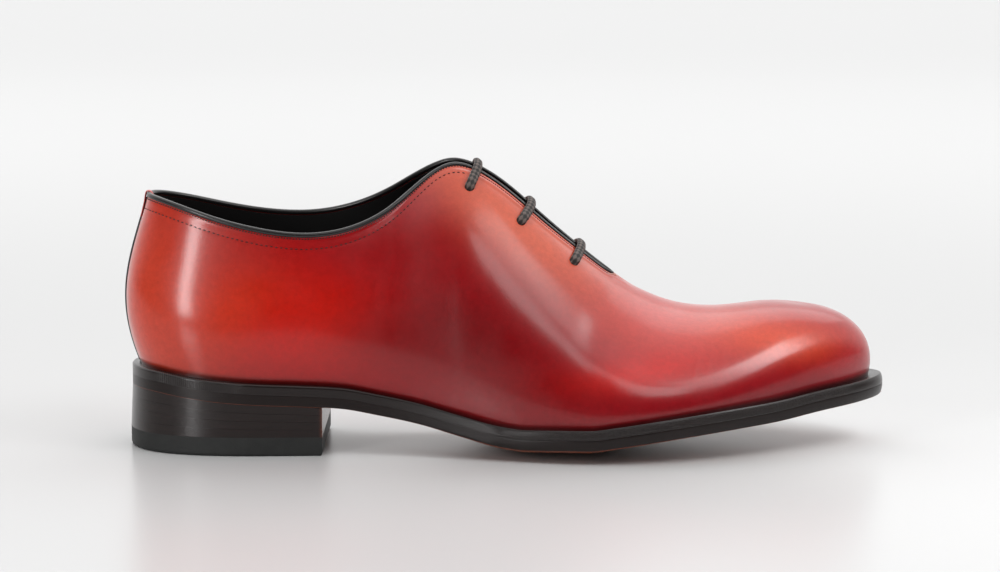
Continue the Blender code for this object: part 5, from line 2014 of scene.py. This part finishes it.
@dataclass
class Closure:
    """The tongue under the slit and the lace over it."""

    shell: Shell
    sizes: Sizes
    wardrobe: Wardrobe
    tongue_span: tuple[float, float] = (43.2, 67.5)
    tongue_reach: float = 0.022
    tongue_thickness: float = 0.0016
    lace_wide: float = 0.0039
    lace_thick: float = 0.0025
    bypass: float = 0.0042
    braid_pitch: float = 0.0046
    carriers: int = 3
    braid_relief: float = 0.07
    spacing: float = 0.00022
    cord_sides: int = 48

    def build_tongue(self) -> None:
        """The tongue, following the upper's inside below the laces."""
        along = np.linspace(*self.tongue_span, 60)
        deep = self.sizes.wall + self.sizes.lace + 4.0 * self.sizes.gap
        shallow = self.sizes.wall + 1.5 * self.sizes.gap
        rows = []
        for at in along:
            u = float(self.shell.share_of_edge(at))
            closing = smooth_step(LACE_ROWS[-1] + 2.0, self.tongue_span[1] - 1.0, at)
            depth = deep + (shallow - deep) * closing
            reach = self.tongue_reach * (1.0 - 0.3 * smooth_step(LACE_ROWS[0], self.tongue_span[1], at))
            halves = {}
            for side in Side:
                line = np.linspace(1.0, 0.3, 150)
                run = run_along(self.shell.point(np.full_like(line, u), side, line))
                t = np.interp(np.linspace(0.0, reach, 14), run, line)
                halves[side] = self.shell.lifted(np.full_like(t, u), side, t, np.full_like(t, -depth))
            middle = 0.5 * (halves[Side.LATERAL][0] + halves[Side.MEDIAL][0])
            middle[2] += float(self.shell.half_gap(u)) * 0.12
            rows.append(np.concatenate([halves[Side.LATERAL][:0:-1], [middle], halves[Side.MEDIAL][1:]]))
        grid = np.array(rows)
        tongue = sheet("tongue_leather", grid[:, ::-1])
        thicken(tongue, self.tongue_thickness)
        self.wardrobe.dress(smooth(tongue), LINING, "tongue")

    def lace_point(self, at: float, side: Side, inset: float, height: float) -> Array:
        """A point of the lace: square down from the slit's edge by inset, over or under the surface."""
        u, t = self.shell.square_to_edge(at, side, inset)
        return self.shell.lifted(u, side, t, height)

    def route(self) -> Array:
        """The lace's centre line: three bars over the slit, and the runs between them inside.

        Returns:
            Points to pass through.
        """
        inset = self.sizes.eyelet_inset
        half = self.lace_thick / 2.0
        under = -(self.sizes.wall + half + 2.0 * self.sizes.gap)
        top, middle, bottom = LACE_ROWS
        beside = inset - self.bypass
        outside = inset + self.bypass
        crest = half + 0.45 * MM

        def bar(at: float, first: Side) -> list[Array]:
            """One bar over the slit: up through a hole on its first side and down on the other.

            Args:
                at: The row in percent of the sole's length.
                first: The side that it comes up on.

            Returns:
                Points to pass through.
            """
            other = Side(-first.value)
            steps = [(1.02, under * 0.8), (1.02, under * 0.3), (0.99, half * 0.35), (0.88, half * 1.0)]
            steps += [(0.55, half + 0.1 * MM), (0.14, crest)]
            rising = [self.lace_point(at, first, inset * share, height) for share, height in steps]
            falling = [self.lace_point(at, other, inset * share, height) for share, height in steps]
            return rising + falling[::-1]

        def inside(side: Side, away: float, *rows: float) -> list[Array]:
            """A run under the leather, this far from the slit's edge."""
            return [self.lace_point(at, side, away, under) for at in rows]

        turn = self.sizes.lace * 0.7 / self.sizes.length * 100
        gap = (bottom - middle) / 2.0
        lateral, medial = Side.LATERAL, Side.MEDIAL
        route = inside(medial, beside, top + turn, top + 2.0, middle - 2.0 * turn)
        route += inside(medial, inset, middle - turn)
        route += bar(middle, medial)
        route += inside(lateral, inset, middle + turn, middle + gap, bottom - turn)
        route += bar(bottom, lateral)
        route += inside(medial, inset, bottom - turn)
        route += inside(medial, outside, middle + 1.0, middle - 1.0)
        route += inside(medial, inset, top + 2.0, top + turn)
        route += bar(top, medial)
        route += inside(lateral, inset, top + turn)
        route += inside(lateral, beside, top + 2.0, top + 3.0)
        return np.array(route)

    def build_lace(self) -> None:
        """The braided lace, a flattened cord."""
        path = smooth_path(self.route(), self.spacing)
        along = unit(np.gradient(path, axis=0))
        slit = unit(self.shell.edge(0.55, Side.LATERAL) - self.shell.edge(0.5, Side.LATERAL))
        ups = carried_ups(path, np.cross(along[0], np.array([0.0, 1.0, 0.2])), slit)
        length = run_along(path)[-1]

        def weave(turns: Array, shares: Array) -> Array:
            """Two sets of strands that cross: above 0 on a strand and below it in a gap."""
            twist = 2.0 * math.pi * shares * length / self.braid_pitch
            return np.sin(self.carriers * turns + twist) * np.sin(self.carriers * turns - twist)

        def profile(turns: Array, shares: Array) -> Array:
            """The flattened cord, swollen where a strand passes."""
            swell = 1.0 + self.braid_relief * weave(turns, shares)
            thick = self.lace_thick / 2.0 * np.cos(turns) * swell
            wide = self.lace_wide / 2.0 * np.sin(turns) * swell
            return np.stack([thick, wide], axis=-1)

        def strand(turns: Array, shares: Array) -> Array:
            """How much of a strand lies at each place, for the material."""
            return smooth_step(-0.5, 0.6, weave(turns, shares))

        lace = swept("lace_cord", path, ups, profile, self.cord_sides, False, strand)
        log.info("lace length %.3f m", length)
        self.wardrobe.dress(smooth(lace, 80.0), CORD, "lace")

    def build(self) -> None:
        """Makes the tongue and the lace."""
        self.build_tongue()
        self.build_lace()


@dataclass(frozen=True)
class Lamp:
    """A softbox: its place, the point that it faces, its width and height, and its watts."""

    name: str
    at: tuple[float, float, float]
    aim: tuple[float, float, float]
    size: tuple[float, float]
    power: float


LAMPS = (
    # The pale sheen on the vamp's ridge and over the toe
    Lamp("overhead_softbox", (0.1, 1.05, 1.35), (0.05, 0.0, 0.05), (2.2, 0.9), 7.0),
    # The upright highlight round the heel
    Lamp("left_strip", (-0.88, -1.08, 0.42), (-0.1, 0.0, 0.06), (0.2, 0.72), 6.6),
    # The broad veil beside the slit
    Lamp("right_window", (0.82, -0.58, 1.06), (0.05, 0.0, 0.05), (0.7, 0.6), 3.4),
    # The soft streak down the quarter
    Lamp("streak_softbox", (0.42, -0.98, 1.0), (0.0, 0.0, 0.07), (0.34, 0.36), 1.6),
    # The bright patch on the toe, close so that the slit's side doesn't mirror it
    Lamp("toe_window", (0.285, -0.165, 0.3), (0.1, -0.03, 0.04), (0.1, 0.17), 0.34),
)


@dataclass
class Studio:
    """The pale floor, the lights and the camera."""

    camera_at: tuple[float, float, float] = (0.150, -1.262, 0.236)
    camera_drop: float = 7.76
    lens: float = 112.5
    sensor: float = 36.0
    flag_from: float = 0.45
    flag_size: tuple[float, float] = (6.0, 3.0)
    floor_size: float = 14.0
    floor_fade: tuple[float, float] = (0.2, 2.2)
    # The floor's tone close to the shoe: painted shade against the lamps' pool of light
    floor_near_painted_shade: float = 0.64
    floor_far: float = 0.97

    def build_camera(self) -> None:
        """The camera at the photo's angle to the shoe."""
        data = bpy.data.cameras.new("studio_camera")
        data.lens = self.lens
        data.sensor_width = self.sensor
        camera = bpy.data.objects.new("studio_camera", data)
        bpy.context.scene.collection.objects.link(camera)
        camera.location = Vector(np.array(self.camera_at) + np.array(PLACE))
        camera.rotation_euler = (math.radians(90.0 - self.camera_drop), 0.0, 0.0)
        bpy.context.scene.camera = camera

    def build_floor(self) -> None:
        """A wide pale floor with a faint reflection."""
        deselect()
        bpy.ops.mesh.primitive_plane_add(size=self.floor_size, location=(0.0, 0.0, -0.02 * MM))
        floor = bpy.context.object
        floor.name = "floor"
        # A pale, slightly glossy sweep with a faint reflection under it: painted darker near the shoe, a
        # painted shade that evens out the lamps' pool of light there
        made = bpy.data.materials.new("pale_floor")
        made.use_nodes = True
        shader = made.node_tree.nodes["Principled BSDF"]
        bench = Bench(made.node_tree)
        away = node(bench.tree, "ShaderNodeVectorMath", {0: bench.places}, operation="LENGTH")
        tones = (self.floor_near_painted_shade, self.floor_far)
        pale = bench.remap(away.outputs["Value"], self.floor_fade, tones, interpolation_type="SMOOTHSTEP")
        bench.feed(shader, "Base Color", pale)
        shader.inputs["Roughness"].default_value = 0.27
        shader.inputs["IOR"].default_value = 1.35
        floor.data.materials.append(made)

    def build_flag(self) -> None:
        """A black card on the floor in front, which only reflections see, to keep the sides deep."""
        deselect()
        wide, deep = self.flag_size
        bpy.ops.mesh.primitive_plane_add(size=1.0, location=(0.0, -self.flag_from - deep / 2.0, 1.0 * MM))
        flag = bpy.context.object
        flag.name = "black_flag"
        flag.scale = (wide, deep, 1.0)
        bpy.ops.object.transform_apply(location=True, rotation=True, scale=True)
        # Matte black: it gives the eye only the dark that the sides mirror
        made = bpy.data.materials.new("black_felt")
        made.use_nodes = True
        shader = made.node_tree.nodes["Principled BSDF"]
        shader.inputs["Base Color"].default_value = (0.01, 0.01, 0.01, 1.0)
        shader.inputs["Roughness"].default_value = 1.0
        shader.inputs["Specular IOR Level"].default_value = 0.0
        flag.data.materials.append(made)
        flag.visible_camera = False
        flag.visible_diffuse = False
        flag.visible_shadow = False
        flag.visible_transmission = False

    def add_light(self, lamp: Lamp) -> None:
        """Hangs one softbox, turned to what it lights.

        Args:
            lamp: The softbox.
        """
        data = bpy.data.lights.new(lamp.name, "AREA")
        data.shape = "RECTANGLE"
        data.size = lamp.size[0]
        data.size_y = lamp.size[1]
        data.energy = lamp.power
        hung = bpy.data.objects.new(lamp.name, data)
        bpy.context.scene.collection.objects.link(hung)
        hung.location = lamp.at
        hung.visible_camera = False
        hung.rotation_euler = (Vector(lamp.aim) - Vector(lamp.at)).to_track_quat("-Z", "Y").to_euler()

    def build_world(self) -> None:
        """A white cyclorama behind and above the shoe, and a dim room on the camera's side."""
        world = bpy.data.worlds.new("studio")
        bpy.context.scene.world = world
        world.use_nodes = True
        tree = world.node_tree
        tree.nodes.clear()
        way = node(tree, "ShaderNodeTexCoord").outputs["Generated"]
        lean = node(tree, "ShaderNodeVectorMath", {0: way, 1: (0.0, 0.6, 0.8)}, operation="DOT_PRODUCT")
        height = lean.outputs["Value"]
        level = Bench(tree).remap(height, (0.08, 0.5), (0.015, 1.06), interpolation_type="SMOOTHSTEP")
        back = node(tree, "ShaderNodeBackground", {"Color": (1.0, 1.0, 1.0, 1.0), "Strength": level})
        node(tree, "ShaderNodeOutputWorld", {"Surface": back.outputs["Background"]})

    def build(self) -> None:
        """Sets up the whole studio."""
        self.build_camera()
        self.build_floor()
        self.build_flag()
        self.build_world()
        for lamp in LAMPS:
            self.add_light(lamp)
        view = bpy.context.scene.view_settings
        view.view_transform = "Standard"
        view.look = "None"


def place_of_last(bottom: Bottom) -> tuple[float, float, float]:
    """Where the last's own origin lies in the row's frame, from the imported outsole.

    Args:
        bottom: The sole's outline.

    Returns:
        The origin's place.
    """
    low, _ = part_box("outsole")
    corner = bottom.outer.min(axis=0)
    return (low.x - float(corner[0]), low.y - float(corner[1]), 0.0)


BOTTOM = Bottom(SIZES)
PLACE = place_of_last(BOTTOM)


def main() -> None:
    """Builds the studio, then each sub-assembly."""
    logging.basicConfig(level=logging.INFO, format="%(message)s")
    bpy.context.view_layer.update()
    shell = Shell(BOTTOM, SIZES)
    wardrobe = Wardrobe()
    Studio().build()
    SoleUnit(BOTTOM, SIZES, wardrobe).build()
    UpperDress(shell, SIZES, wardrobe).build()
    Trims(shell, SIZES, wardrobe).build()
    Closure(shell, SIZES, wardrobe).build()


if __name__ == "__main__":
    main()
